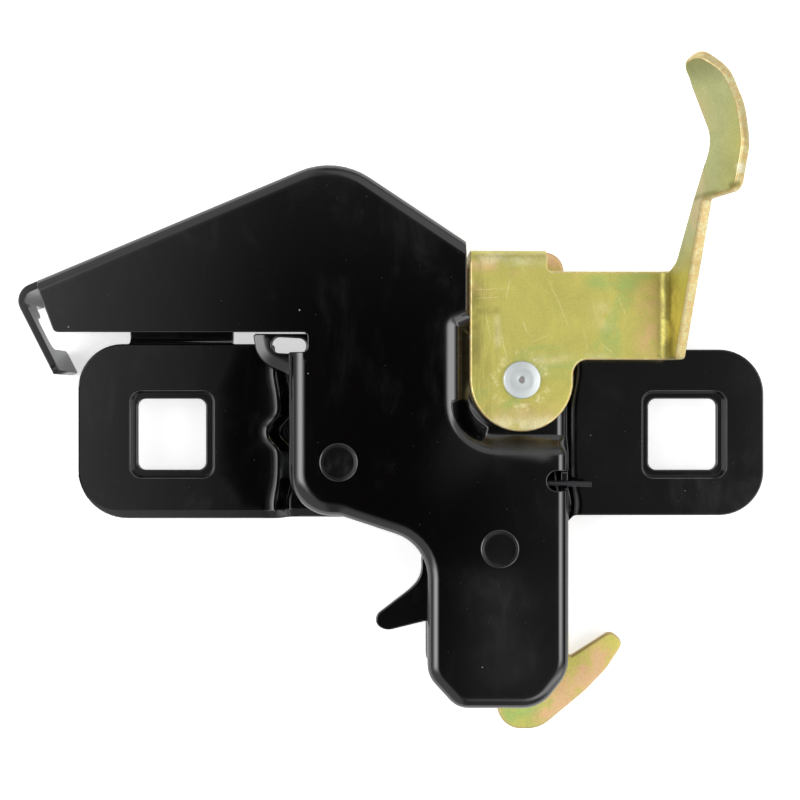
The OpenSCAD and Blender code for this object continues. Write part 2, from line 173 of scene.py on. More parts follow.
def spaced(points: Array, longest: float, closed: bool = False) -> Array:
    """A path with no step longer than a given length.

    Args:
        points: the path.
        longest: the longest step.
        closed: whether the last point joins the first.

    Returns:
        The path with points added along its long steps.
    """
    ends = np.roll(points, -1, axis=0) if closed else np.vstack((points[1:], points[-1:]))
    parts: list[Array] = []
    for a, b in zip(points, ends):
        n = max(1, math.ceil(float(np.linalg.norm(b - a)) / longest))
        parts.append(a + (b - a) * (np.arange(n) / n)[:, None])
    return np.concatenate(parts)


def boxed(centre: Pair, half: Pair, radius: float) -> Array:
    """Points of a box with rounded corners."""
    (x, z), (w, h) = centre, half
    return rounded([(x + i * w, z + k * h, radius) for i, k in AROUND])


def lengths(path: Array) -> Array:
    """Length along a path to each of its points."""
    return np.concatenate(([0.0], np.cumsum(np.linalg.norm(np.diff(path, axis=0), axis=1))))


def step_sides(points: Array) -> Array:
    """Direction to the left of each step of an open path.

    Args:
        points: the path's points.

    Returns:
        One unit direction per step.
    """
    steps = np.diff(points, axis=0)
    steps /= np.linalg.norm(steps, axis=1)[:, None]
    return np.column_stack((-steps[:, 1], steps[:, 0]))


def left_normals(points: Array) -> Array:
    """Direction to the left of an open path at each of its points.

    Args:
        points: the path's points.

    Returns:
        One unit direction per point.
    """
    sides = step_sides(points)
    at = np.vstack((sides[:1], sides[:-1] + sides[1:], sides[-1:]))
    return at / np.linalg.norm(at, axis=1)[:, None]


def beside(points: Array, gap: float) -> Array:
    """An open path that runs beside another, at a distance to its left.

    Args:
        points: the path's points.
        gap: the distance.

    Returns:
        The new path's points.
    """
    sides = left_normals(points)
    stretch = np.ones(len(points))
    turns = np.sum(sides[1:-1] * step_sides(points)[1:], axis=1)
    stretch[1:-1] = 1 / np.maximum(LEAST_MITRE, turns)
    return points + sides * (gap * stretch)[:, None]


@dataclass
class Near:
    """Where points lie against a path.

    Attributes:
        gap: distance to the path, positive on its left.
        along: length along the path to the nearest place.
        side: direction to the path's left at that place.
        within: whether the nearest place is between the path's ends.
    """

    gap: Array
    along: Array
    side: Array
    within: Array


def near(points: Array, path: Array) -> Near:
    """Measures points against an open path.

    Args:
        points: the points, one row each.
        path: the path's points.

    Returns:
        The distances and the nearest places.
    """
    a, step = path[:-1], np.diff(path, axis=0)
    length = np.linalg.norm(step, axis=1)
    share = np.einsum("nij,ij->ni", points[:, None] - a, step) / length**2
    held = np.clip(share, 0, 1)
    off = points[:, None] - (a + held[..., None] * step)
    square = np.sum(off**2, axis=2)
    best = np.argmin(square, axis=1)
    row = np.arange(len(points))
    normals = left_normals(path)
    t = held[row, best][:, None]
    side = normals[best] * (1 - t) + normals[best + 1] * t
    side /= np.linalg.norm(side, axis=1)[:, None]
    turn = step[best, 0] * off[row, best, 1] - step[best, 1] * off[row, best, 0]
    start = lengths(path)
    early = (best == 0) & (share[row, best] < -PAST_END)
    late = (best == len(a) - 1) & (share[row, best] > 1 + PAST_END)
    gap = np.sqrt(square[row, best]) * np.where(turn < 0, -1, 1)
    return Near(gap, start[best] + t[:, 0] * length[best], side, ~(early | late))


def point_along(path: Array, along: Array) -> Array:
    """Points of a path at given lengths along it."""
    return np.column_stack([np.interp(along, lengths(path), path[:, k]) for k in range(2)])


def inside(points: Array, loop: Array) -> Array:
    """Whether each point lies in a closed loop.

    Args:
        points: the points, one row each.
        loop: the loop's points.

    Returns:
        One truth value per point.
    """
    a, b = loop, np.roll(loop, -1, axis=0)
    x, z = points[:, 0][:, None], points[:, 1][:, None]
    spans = (a[:, 1] > z) != (b[:, 1] > z)
    rise = np.where(b[:, 1] == a[:, 1], 1, b[:, 1] - a[:, 1])
    crossing = (b[:, 0] - a[:, 0]) * (z - a[:, 1]) / rise + a[:, 0]
    return np.sum(spans & (x < crossing), axis=1) % 2 == 1


def box_gap(points: Array, centre: Pair, half: Pair, radius: float) -> Array:
    """Distance outside a rounded box, negative inside it."""
    q = np.abs(points - np.array(centre)) - np.array(half) + radius
    return np.linalg.norm(np.maximum(q, 0), axis=1) + np.minimum(np.max(q, axis=1), 0) - radius


def ease(t: Array) -> Array:
    """A smooth rise from 0 to 1."""
    t = np.clip(t, 0, 1)
    return t * t * (3 - 2 * t)


def profile(gap: Array, nodes: Sequence[Pair], soft: float) -> Array:
    """Depth of a pressed wall across its line."""
    across, depth = np.array(nodes).T
    return np.mean([np.interp(gap + k, across, depth) for k in np.linspace(-soft, soft, 13)], axis=0)


def edges_of(tris: Array) -> Array:
    """The three edges of each triangle."""
    return np.vstack((tris[:, [0, 1]], tris[:, [1, 2]], tris[:, [2, 0]]))


def edge_numbers(tris: Array) -> tuple[Array, Array]:
    """Numbers the edges of triangles.

    Args:
        tris: corner numbers of the triangles.

    Returns:
        The number of each triangle's three edges, and how many triangles share each edge.
    """
    pairs = np.sort(edges_of(tris), axis=1)
    _, number, shared = np.unique(pairs, axis=0, return_inverse=True, return_counts=True)
    return number.reshape(3, -1).T, shared


def one_sheet(tris: Array, tiny: Array) -> Array:
    """Triangles of one sheet, without slivers on its outline and without islands.

    Args:
        tris: corner numbers of the triangles.
        tiny: which of them are slivers.

    Returns:
        The triangles that stay.
    """
    while True:
        number, shared = edge_numbers(tris)
        drop = tiny & (shared[number] == 1).any(axis=1)
        if not drop.any():
            break
        tris, tiny = tris[~drop], tiny[~drop]
    label = np.arange(len(tris))
    while True:
        lowest = np.full(len(shared), len(tris))
        np.minimum.at(lowest, number, label[:, None])
        joined = lowest[number].min(axis=1)
        if (joined == label).all():
            return tris[label == np.bincount(label).argmax()]
        label = joined


def triangulate(loops: Sequence[Array], lines: Sequence[Array] = ()) -> tuple[Array, Array]:
    """Fills an outline with triangles that follow given lines.

    Args:
        loops: the outline, then its holes.
        lines: open lines that the triangles keep to, cut off at the outline.

    Returns:
        The points and the triangles, anticlockwise.
    """
    points: list[Vector] = []
    edges: list[tuple[int, int]] = []
    for path, closed in [(p, True) for p in loops] + [(p, False) for p in lines]:
        start, n = len(points), len(path)
        points += [Vector(p) for p in path]
        edges += [(start + i, start + (i + 1) % n) for i in range(n if closed else n - 1)]
    found, _, faces, *_ = delaunay_2d_cdt(points, edges, [], 0, MERGE_GAP)
    at = np.array([tuple(p) for p in found])
    tris = np.array(faces, dtype=int)
    a, b, c = at[tris[:, 0]], at[tris[:, 1]], at[tris[:, 2]]
    area = (b[:, 0] - a[:, 0]) * (c[:, 1] - a[:, 1]) - (b[:, 1] - a[:, 1]) * (c[:, 0] - a[:, 0])
    tris[area < 0] = tris[area < 0][:, ::-1]
    middle = at[tris].mean(axis=1)
    keep = inside(middle, loops[0])
    for hole in loops[1:]:
        keep &= ~inside(middle, hole)
    sheet = one_sheet(tris[keep], np.abs(area[keep]) <= SLIVER_AREA)
    used, inverse = np.unique(sheet, return_inverse=True)
    return at[used], inverse.reshape(-1, 3)


# Sheets and solids


@dataclass
class Solid:
    """A closed mesh with the direction its surface faces at each point.

    Attributes:
        points: one row per point.
        normals: unit directions, one row per point.
        faces: corner numbers of each face.
        cut: 1 at points of a sheared edge and 0 elsewhere, or None.
    """

    points: Array
    normals: Array
    faces: list[tuple[int, ...]]
    cut: Array | None = None

    def formed(self, form: Callable[[Array], Array]) -> "Solid":
        """The solid after every point is moved by a forming tool.

        Args:
            form: gives the new place of each point.

        Returns:
            The formed solid, with its surface directions carried along.
        """
        tiny = 1e-3
        spare = np.where(np.abs(self.normals[:, :1]) < 0.8, [[1.0, 0.0, 0.0]], [[0.0, 0.0, 1.0]])
        u = np.cross(self.normals, spare)
        u /= np.linalg.norm(u, axis=1)[:, None]
        v = np.cross(self.normals, u)
        place = form(self.points)
        du = form(self.points + u * tiny) - form(self.points - u * tiny)
        dv = form(self.points + v * tiny) - form(self.points - v * tiny)
        normals = np.cross(du, dv)
        normals /= np.maximum(np.linalg.norm(normals, axis=1), TINY)[:, None]
        return Solid(place, normals, self.faces, self.cut)

    def object(self, name: str, material: Material) -> Object:
        """Makes the Blender object, with its place in its mesh.

        Args:
            name: the piece's name.
            material: its finish.

        Returns:
            The object, linked to the scene.
        """
        mesh = bpy.data.meshes.new(name)
        mesh.from_pydata((self.points * MM).tolist(), [], self.faces)
        mesh.shade_smooth()
        mesh.normals_split_custom_set_from_vertices(self.normals.tolist())
        mesh.materials.append(material)
        if self.cut is not None:
            mesh.attributes.new("cut", "FLOAT", "POINT").data.foreach_set("value", self.cut)
        piece = bpy.data.objects.new(name, mesh)
        bpy.context.scene.collection.objects.link(piece)
        return piece


@dataclass
class Skin:
    """An open surface of triangles that becomes a sheet part.

    Attributes:
        points: one row per point.
        normals: unit directions the surface faces.
        tris: corner numbers of the triangles.
    """

    points: Array
    normals: Array
    tris: Array

    @staticmethod
    def flat(loops: Sequence[Array], lines: Sequence[Array] = (), depth: float = 0.0) -> "Skin":
        """A flat blank that faces the viewer.

        Args:
            loops: the outline in X and Z, then its holes.
            lines: lines that the triangles keep to.
            depth: the blank's Y.

        Returns:
            The blank's front surface.
        """
        at, tris = triangulate(loops, lines)
        points = np.column_stack((at[:, 0], np.full(len(at), depth), at[:, 1]))
        return Skin(points, np.tile(FRONT, (len(at), 1)), tris)

    def joined(self, other: "Skin") -> "Skin":
        """This surface and another as one, with the points they share made one.

        Args:
            other: the surface to add. Its directions are kept where points are shared.

        Returns:
            The joined surface.
        """
        points = np.vstack((other.points, self.points))
        normals = np.vstack((other.normals, self.normals))
        tris = np.vstack((other.tris, self.tris + len(other.points)))
        _, first, inverse = np.unique(np.round(points, 4), axis=0, return_index=True, return_inverse=True)
        return Skin(points[first], normals[first], inverse.reshape(-1)[tris])

    def thickened(self, gauge: float, rounding: float, steps: int = 3) -> Solid:
        """A closed sheet of even thickness behind this surface, with rounded edges.

        Args:
            gauge: the sheet's thickness.
            rounding: radius of its edges.
            steps: faces across each rounded edge.

        Returns:
            The closed solid.
        """
        p, n, f = self.points, self.normals, self.tris
        half = edges_of(f)
        known = {tuple(e) for e in half.tolist()}
        rim = [(a, b) for a, b in half.tolist() if (b, a) not in known]
        following = dict(rim)
        before = {b: a for a, b in rim}
        ring = np.array(sorted(following))
        place = {int(v): k for k, v in enumerate(ring)}

        def inward(a: Array, b: Array) -> Array:
            """Direction into the sheet, square to the edges from a to b.

            Args:
                a: points where the edges start.
                b: points where they end.

            Returns:
                One direction per edge.
            """
            step = p[b] - p[a]
            across = np.cross(n[ring], step)
            return across / np.maximum(np.linalg.norm(across, axis=1), TINY)[:, None]

        ins = inward(np.array([before[v] for v in ring]), ring)
        outs = inward(ring, np.array([following[v] for v in ring]))
        lean = 1 + np.sum(ins * outs, axis=1)
        inner = (ins + outs) / np.maximum(lean, LEAST_LEAN)[:, None]
        face = (ins + outs) / np.maximum(np.linalg.norm(ins + outs, axis=1), TINY)[:, None]

        front, back = p.copy(), p - n * gauge
        front[ring] += inner * rounding
        back[ring] += inner * rounding
        count, rows, ways = len(p), [], []
        turns = [math.pi / 2 * k / steps for k in range(1, steps + 1)]
        for way, turn in [(1, t) for t in turns] + [(-1, t) for t in reversed(turns)]:
            sink = rounding * (1 - math.cos(turn))
            sink = sink if way > 0 else gauge - sink
            rows.append(p[ring] + inner * rounding * (1 - math.sin(turn)) - n[ring] * sink)
            ways.append(way * n[ring] * math.cos(turn) - face * math.sin(turn))
        faces = [tuple(t) for t in f.tolist()] + [tuple(t) for t in (f[:, ::-1] + count).tolist()]

        def at(row: int, v: int) -> int:
            """Number of an edge point's copy in a row across the edge.

            Args:
                row: the row.
                v: the edge point.

            Returns:
                The copy's number.
            """
            if row == 0:
                return v
            if row == len(rows) + 1:
                return v + count
            return 2 * count + (row - 1) * len(ring) + place[v]

        for a, b in rim:
            for row in range(len(rows) + 1):
                faces.append((at(row, b), at(row, a), at(row + 1, a), at(row + 1, b)))
        cut = np.repeat((0.0, 1.0), (2 * count, len(rows) * len(ring)))
        return Solid(np.vstack((front, back, *rows)), np.vstack((n, -n, *ways)), faces, cut)


def lathe(profile: Sequence[Corner], centre: Pair, sides: int = 64) -> Solid:
    """A solid turned about a line along Y.

    Args:
        profile: radius, Y and edge rounding of each corner, from the front axis to the rear axis.
        centre: x and z of the line.
        sides: faces round it.

    Returns:
        The closed solid.
    """
    line = spaced(rounded(profile, closed=False), 0.6)
    away = -left_normals(line)
    angles = np.arange(sides) * 2 * math.pi / sides
    spread = np.column_stack((np.cos(angles), np.zeros(sides), np.sin(angles)))
    points, normals, faces = [], [], []
    for (radius, depth), (out, back) in zip(line[1:-1], away[1:-1]):
        points.append(np.array((centre[0], depth, centre[1])) + spread * radius)
        normals.append(spread * out + np.array((0, back, 0)))
    rows = len(points)
    for k in range(rows - 1):
        for i in range(sides):
            j = (i + 1) % sides
            faces.append((k * sides + i, (k + 1) * sides + i, (k + 1) * sides + j, k * sides + j))
    ends = np.array([(centre[0], line[k][1], centre[1]) for k in (0, -1)])
    for i in range(sides):
        j = (i + 1) % sides
        faces.append((rows * sides, i, j))
        last = (rows - 1) * sides
        faces.append((rows * sides + 1, last + j, last + i))
    return Solid(np.vstack((*points, ends)), np.vstack((*normals, FRONT, -FRONT)), faces)


# Pieces of the case


@dataclass
class Cover:
    """The pressed front half of the case, with the arm and the cable bracket.

    Attributes:
        layout: shared depths and pivots.
        gauge: sheet thickness.
        bend: outer radius of the bend into the rim.
        bend_left: radius of that bend on the left side.
        left_run: length along the lower rim where that side ends, and over which the bend narrows.
        fade_run: length over which the bend fades out at the lower rim's end.
        edge: rounding of the sheared edges.
        panel_right: right edge of the upper panel.
        panel_low: lower end of that edge, where the land begins.
        arm_low: lower edge of the arm.
        slit_low: lower side of the slit under the arm.
        slit_end: right end of the slit.
        slit_r: radius of the slit's corners.
        arm_r: radius of the arm's lower left corner.
        rim_low: the rim from the slit round the grip to the land's top, x, z and radius.
        rim_top: the rim from the panel's right edge over the arm to the bracket's foot.
        arm_end: lower and upper end of the arm's left edge.
        land: line of the step down to the land.
        wall: distance across that line and depth of each corner of the land's wall.
        wall_low: the same for the wall's lower run.
        wall_turn: length along that line where the lower run starts, and over which it comes in.
        wall_soft: half the length over which the wall's corners are rounded.
        wall_lines: how many mesh lines follow the wall.
        wall_margin: how far these lines reach past its upper and lower end.
        notch: x and z of the spring notch, and its radius.
        notch_depth: Y that the notch is cut to.
        bracket_rear: rear edge of the cable bracket.
        rim_full: length of the deep rim next to the bracket's corner.
        rim_run: length over which the deep rim tapers away.
        slot: start and end of the cable slot below the bracket's corner, and the Y it is cut to.
        lobe: length of the lobe above the slot, and its rear edge.
        paths: the lower and the upper rim's path, which build works out.
    """

    layout: Layout
    gauge: float = 2.3
    bend: float = 4.0
    bend_left: float = 5.8
    left_run: Pair = (70.0, 30.0)
    fade_run: float = 6.0
    edge: float = 0.35
    panel_right: float = 12.4
    panel_low: float = 38.7
    arm_low: float = 33.1
    slit_low: float = 26.8
    slit_end: float = -38.6
    slit_r: float = 1.6
    arm_r: float = 1.8
    rim_low: tuple[Corner, ...] = (
        (-45.0, 26.8, 0), (-45.0, -26.0, 14), (-28.2, -26.0, 8), (-0.1, -35.2, 15), (-0.1, -77.6, 9),
        (9.4, -88.0, 8), (36.2, -88.0, 12), (45.4, -76.2, 13), (45.4, 38.7, 4), (12.4, 38.7, 0),
    )
    rim_top: tuple[Corner, ...] = (
        (16.58, 59.61, 0), (-29.4, 90.3, 24), (-134.39, 46.3, 5.6), (-120.8, 19.6, 0),
    )
    arm_end: tuple[Pair, Pair] = ((-119.8, 33.1), (-126.0, 49.8))
    land: tuple[Corner, ...] = ((17.4, 40.7, 0), (7.4, 36.7, 3), (7.4, -3.4, 15), (50.0, -3.4, 0))
    wall: Pairs = ((-1.4, 0.0), (1.8, 1.0), (5.0, 4.2))
    wall_low: Pairs = ((-2.2, 0.0), (-1.3, 0.5), (2.6, 4.2))
    wall_turn: Pair = (36.0, 18.0)
    wall_soft: float = 1.1
    wall_lines: int = 18
    wall_margin: Pair = (0.9, 1.0)
    notch: Corner = (41.3, -14.6, 3.2)
    notch_depth: float = -14.1
    bracket_rear: float = 11.7
    rim_full: float = 14.0
    rim_run: float = 92.0
    slot: Corner = (8.6, 20.1, -8.3)
    lobe: Pair = (3.6, -1.3)
    paths: list[Array] = field(default_factory=list)

    def bend_radius(self, path: Array, along: Array) -> Array:
        """Radius of the bend along a rim, which fades out where the lower rim ends under the lever.

        Args:
            path: the rim's path.
            along: lengths along it.

        Returns:
            The radius at each length.
        """
        if path is self.paths[1]:
            return np.full(len(along), self.bend)
        total = lengths(path)[-1]
        end, run = self.left_run
        wide = self.bend + (self.bend_left - self.bend) * ease((end - along) / run)
        return np.maximum(0.1, wide * ease((total - along) / self.fade_run))

    def face_loop(self) -> Array:
        """Outline of the front face, out to the rims and round the slit and the notch.

        Returns:
            The outline's points.
        """
        low, top = self.paths
        x, z, r = self.notch
        right = low[:, 0].max()
        sides = [(right, z - r, 0), (x - r, z - r, r * 0.99), (x - r, z + r, r * 0.99), (right, z + r, 0)]
        first_above = int(np.argmax((low[:, 0] > x) & (low[:, 1] > z + r)))
        start = [p for p in low[:first_above] if not (p[0] > x and p[1] > z - r)]
        end_low, end_top = (np.array(p) for p in self.arm_end)
        over = top[(top[:, 0] < self.panel_right - 0.3) & (top[:, 1] > end_top[1] + 0.2)]
        corner = point_along(top, np.interp([-self.panel_right], -top[:, 0], lengths(top)))
        slit = rounded([
            (*end_top, 0), (*end_low, self.arm_r), (self.slit_end, self.arm_low, self.slit_r),
            (self.slit_end, self.slit_low, self.slit_r), (low[0][0], self.slit_low, 0),
        ], closed=False)
        return np.vstack((np.array(start), rounded(sides, closed=False), low[first_above:], corner, over,
                          spaced(slit[:2], 1.5)[:-1], slit[1:-1]))

    def face(self) -> Skin:
        """Front face with its bend into the rims.

        Returns:
            The face's surface.
        """
        turns = np.radians((15, 28, 40, 51, 61, 71, 81, 90))
        rings = [self.bend_left * (1 - math.cos(a)) for a in turns]
        low, top = self.paths
        top = top[top[:, 1] > self.arm_end[1][1] - 0.01]
        lines = [beside(p, r) for p in (low, top) for r in rings]
        step = spaced(rounded(self.land, closed=False), 2.0)
        before, after = self.wall_margin
        across = np.linspace(self.wall_low[0][0] - before, self.wall[-1][0] + after, self.wall_lines)
        lines += [beside(step, g) for g in across]
        at, tris = triangulate([self.face_loop()], lines)
        depth = np.full(len(at), self.layout.cover_front)
        normals = np.tile(FRONT, (len(at), 1))
        for path in self.paths:
            found = near(at, path)
            radius = self.bend_radius(path, found.along)
            bent = found.within & (found.gap < radius) & (found.gap > -0.01)
            share = np.clip((radius - found.gap) / radius, 0, 1)
            depth = np.where(bent, self.layout.cover_front + radius * (1 - np.sqrt(1 - share**2)), depth)
            side = -found.side * share[:, None]
            away = np.column_stack((side[:, 0], -np.sqrt(1 - share**2), side[:, 1]))
            normals = np.where(bent[:, None], away, normals)
        return Skin(np.column_stack((at[:, 0], depth, at[:, 1])), normals, tris)

    def rim(self, face: Skin, path: Array, rear: Array, gap: Array | None, tail: Array | None) -> Skin:
        """A rim that runs back from the bend along a path.

        Args:
            face: the front face that the rim starts from.
            path: the rim's path.
            rear: rear outline, length along the path and Y, from its end to its start.
            gap: outline of a cut in the near edge, or None.
            tail: near outline past the face's end, or None.

        Returns:
            The rim's surface, which shares the face's points.
        """
        at = face.points[:, [0, 2]]
        found = near(at, path)
        on = found.within & (np.abs(found.gap) < ON_PATH)
        order = np.argsort(found.along[on])
        start = np.column_stack((found.along[on], face.points[on, 1]))[order]
        places = face.points[on][order]
        if gap is not None:
            split = int(np.searchsorted(start[:, 0], gap[:, 0].mean()))
            start = np.vstack((start[:split], gap, start[split:]))
        if tail is not None:
            start = np.vstack((start, tail))
        joints = lengths(path)
        joints = joints[np.abs(joints[:, None] - start[:, 0]).min(axis=1) > SAME_COLUMN]
        columns = np.concatenate((start[1:-1, 0], joints[(joints > start[0, 0]) & (joints < start[-1, 0])]))
        lines = [np.array(((c, -FAR), (c, FAR))) for c in columns]
        flat, tris = triangulate([np.vstack((start, rear))], lines)
        xz = point_along(path, flat[:, 0])
        side = near(xz, path).side
        points = np.column_stack((xz[:, 0], flat[:, 1], xz[:, 1]))
        for place, (along, depth) in zip(places, np.column_stack((found.along[on][order], places[:, 1]))):
            points[np.hypot(flat[:, 0] - along, flat[:, 1] - depth) < SAME_POINT] = place
        normals = np.column_stack((-side[:, 0], np.zeros(len(side)), -side[:, 1]))
        return Skin(points, normals, tris[:, ::-1])

    def press_land(self, points: Array) -> Array:
        """Sets the land back behind the front face, and leaves the rim's rear edge in place.

        Args:
            points: places on the part before this step.

        Returns:
            Places after it.
        """
        step = spaced(rounded(self.land, closed=False), 2.0)
        found = near(points[:, [0, 2]], step)
        turn = ease((found.along - self.wall_turn[0]) / self.wall_turn[1])
        upright, level = (profile(found.gap, w, self.wall_soft) for w in (self.wall, self.wall_low))
        lay = self.layout
        start = lay.cover_front + self.bend
        held = np.clip((lay.rim_rear - points[:, 1]) / (lay.rim_rear - start), 0, 1)
        panel = (points[:, 2] > self.panel_low + 0.5) & (points[:, 0] < self.panel_right - 4)
        held = np.where(panel, 0, held)
        moved = points.copy()
        moved[:, 1] += (upright * (1 - turn) + level * turn) * held
        return moved

    def build(self) -> Solid:
        """The whole cover.

        Returns:
            The closed solid.
        """
        lay = self.layout
        self.paths = [spaced(rounded(c, closed=False), 3.0) for c in (self.rim_low, self.rim_top)]
        low, top = self.paths
        face = self.face()
        right = low[:, 0].max()
        mouth = np.array([(right, self.notch[1] + k * self.notch[2]) for k in (-1, 1)])
        gap = np.column_stack((near(mouth, low).along, np.full(2, self.notch_depth)))
        total = lengths(low)[-1]
        rear_low = np.array(((total, lay.rim_rear), (0.0, lay.rim_rear)))
        corner = near(np.array([self.rim_top[2][:2]]), top).along[0]
        foot = lengths(top)[-1]
        first = near(face.points[:, [0, 2]], top)
        begin = first.along[first.within & (np.abs(first.gap) < ON_PATH)].min()
        fold_near = lay.cover_front + self.bend
        slot_from, slot_to, slot_depth = self.slot
        lobe_from, lobe_rear = self.lobe
        rear_top = rounded((
            (foot, self.bracket_rear, 0), (corner + slot_to, self.bracket_rear, 2.0),
            (corner + slot_to, slot_depth, 3.0), (corner + slot_from, slot_depth, 3.0),
            (corner + slot_from, lobe_rear, 2.4), (corner + lobe_from, lobe_rear, 2.0),
            (corner + lobe_from, self.bracket_rear, 2.0), (corner - self.rim_full, self.bracket_rear, 8.0),
            (corner - self.rim_run, lay.rim_rear, 8.0), (begin, lay.rim_rear, 0),
        ), closed=False)
        tail = np.array(((foot, fold_near),))
        skin = face.joined(self.rim(face, low, rear_low, gap, None))
        skin = skin.joined(self.rim(face, top, rear_top, None, tail))
        return skin.thickened(self.gauge, self.edge).formed(self.press_land)


@dataclass
class BasePlate:
    """The pressed back half of the case, with its two wings, pads and tray.

    Attributes:
        layout: shared depths and pivots.
        gauge: sheet thickness.
        edge: rounding of the sheared edges.
        hole_x: distance of each square hole from the middle.
        hole: width and height of a square hole.
        hole_r: its corner radius.
        bore: radius of the rivet holes.
        pad: half width and half height of a pad's recess.
        pad_shift: how far the left recess sits to the right of its hole.
        pad_depth: depth of the recess.
        pad_wall: width of the recess wall.
        pad_corner: corner radius of the recess.
        pad_edge: how far outside the recess its wall starts.
        pad_rings: how many rings of triangles the wall has.
        left: left end of the left wing.
        left_top: top edge of the left wing.
        left_low: line where its lower lip begins.
        lip: drop and set-back of the lips.
        lip_corner: radius of the lip line at the lower left corner.
        lip_soft: softness of the bend into the lip.
        lip_end: right end of the line.
        lip_lines: distances of the mesh lines beside it.
        tab: ends of the upper lip.
        tab_rise: height of the upper lip.
        tab_wall: height and depth of each corner of its bend.
        tab_soft: half the length over which these corners are rounded.
        tab_lines: heights of the mesh lines along it.
        right: right end of the right wing.
        right_top: top edge of the right wing.
        right_low: lower edge of the right wing.
        wing_r: corner radius of the wings.
        joggle: middle of the left and right step down to the tray.
        left_wall: distance across that middle and depth of each corner of the left step.
        right_wall: the same for the right step.
        step_soft: half the length over which the corners of each step are rounded.
        step_run: lower end, upper end and point count of the mesh lines along each step.
        step_lines: first distance, last distance and count of these lines across it.
        flares: height and half length of the two places where the steps flare.
        flare_reach: how far the left and right step flare to the right.
        dart: height, reach and half length of the dart pressed across the left step.
        dart_power: how square the dart is.
        tray_top: top edge of the tray.
        tray_low: lower edge of the tray.
        tail_low: lower end of the tail behind the grip.
    """

    layout: Layout
    gauge: float = 2.5
    edge: float = 0.5
    hole_x: float = 84.6
    hole: Pair = (22.5, 23.5)
    hole_r: float = 2.6
    bore: float = 4.05
    pad: Pair = (13.7, 14.2)
    pad_shift: float = 0.6
    pad_depth: float = 3.5
    pad_wall: float = 1.1
    pad_corner: float = 3.6
    pad_edge: float = 0.4
    pad_rings: int = 7
    left: float = -114.9
    left_top: float = 29.8
    left_low: float = -24.8
    lip: Pair = (3.0, 2.2)
    lip_corner: float = 13.1
    lip_soft: float = 0.3
    lip_end: float = -20.0
    lip_lines: tuple[float, ...] = (0.6, 0.25, 0.0, -0.4, -1.0)
    tab: Pair = (-98.0, -64.0)
    tab_rise: float = 5.4
    tab_wall: Pairs = ((0.3, 0.0), (1.5, 1.4))
    tab_soft: float = 0.3
    tab_lines: tuple[float, ...] = (0.0, 0.3, 0.6, 0.9, 1.2, 1.5, 1.8)
    right: float = 110.7
    right_top: float = 28.0
    right_low: float = -26.6
    wing_r: float = 14.6
    joggle: Pair = (-48.55, 46.4)
    left_wall: Pairs = ((-2.4, 0.0), (0.9, 0.9), (2.7, 6.2), (3.6, 7.0))
    right_wall: Pairs = ((-1.7, 0.0), (0.9, 0.8), (3.6, 6.3), (5.0, 7.0))
    step_soft: Pair = (1.6, 1.2)
    step_run: tuple[float, float, int] = (-40.0, 40.0, 91)
    step_lines: tuple[float, float, int] = (-3.2, 6.4, 25)
    flares: Pairs = ((21.0, 7.0), (-23.0, 6.0))
    flare_reach: Pair = (-1.6, 1.76)
    dart: Corner = (0.8, 4.0, 4.4)
    dart_power: float = 2.6
    tray_top: float = 24.0
    tray_low: float = -26.5
    tail_low: float = -80.6

    def outline(self) -> Array:
        """Outline of the flat blank.

        Returns:
            The outline's points.
        """
        drop, rise = self.lip[0], self.tab_rise
        low = self.left_low - drop
        return rounded([
            (self.left, low, self.lip_corner + drop), (-27.0, low, 0), (-27.0, self.tray_low, 0),
            (-8.1, self.tray_low, 8), (-0.4, self.tray_low - 12, 8), (-0.4, self.tail_low, 8),
            (44.8, self.tail_low, 8), (44.8, self.tray_low - 4, 2), (48.4, self.right_low, 2),
            (self.right, self.right_low, self.wing_r), (self.right, self.right_top, self.wing_r),
            (50.5, self.right_top, 4), (46.5, self.tray_top, 2), (-49.8, self.tray_top, 1.2),
            (-50.4, self.left_top, 1.5), (self.tab[1], self.left_top, 0.6),
            (self.tab[1], self.left_top + rise, 1),
            (self.tab[0], self.left_top + rise, 0.6), (self.tab[0], self.left_top, 0.6),
            (self.left, self.left_top, self.wing_r),
        ])

    def joggle_x(self, side: int, z: Array) -> Array:
        """Middle of a step down to the tray.

        Args:
            side: 0 for the left step, 1 for the right one.
            z: heights.

        Returns:
            The X of the step's middle at each height.
        """
        flare = sum(np.exp(-(((z - at) / run) ** 2)) for at, run in self.flares)
        height, reach, half = self.dart
        bulge = reach * np.exp(-(np.abs((z - height) / half) ** self.dart_power))
        return self.joggle[side] + self.flare_reach[side] * flare - (0 if side else bulge)

    def lip_line(self) -> Array:
        """Line where the lower lip of the left wing starts to bend back.

        Returns:
            The line's points.
        """
        return spaced(rounded([
            (self.left, self.left_top, 0), (self.left, self.left_low, self.lip_corner),
            (self.lip_end, self.left_low, 0),
        ], closed=False), 3.0)

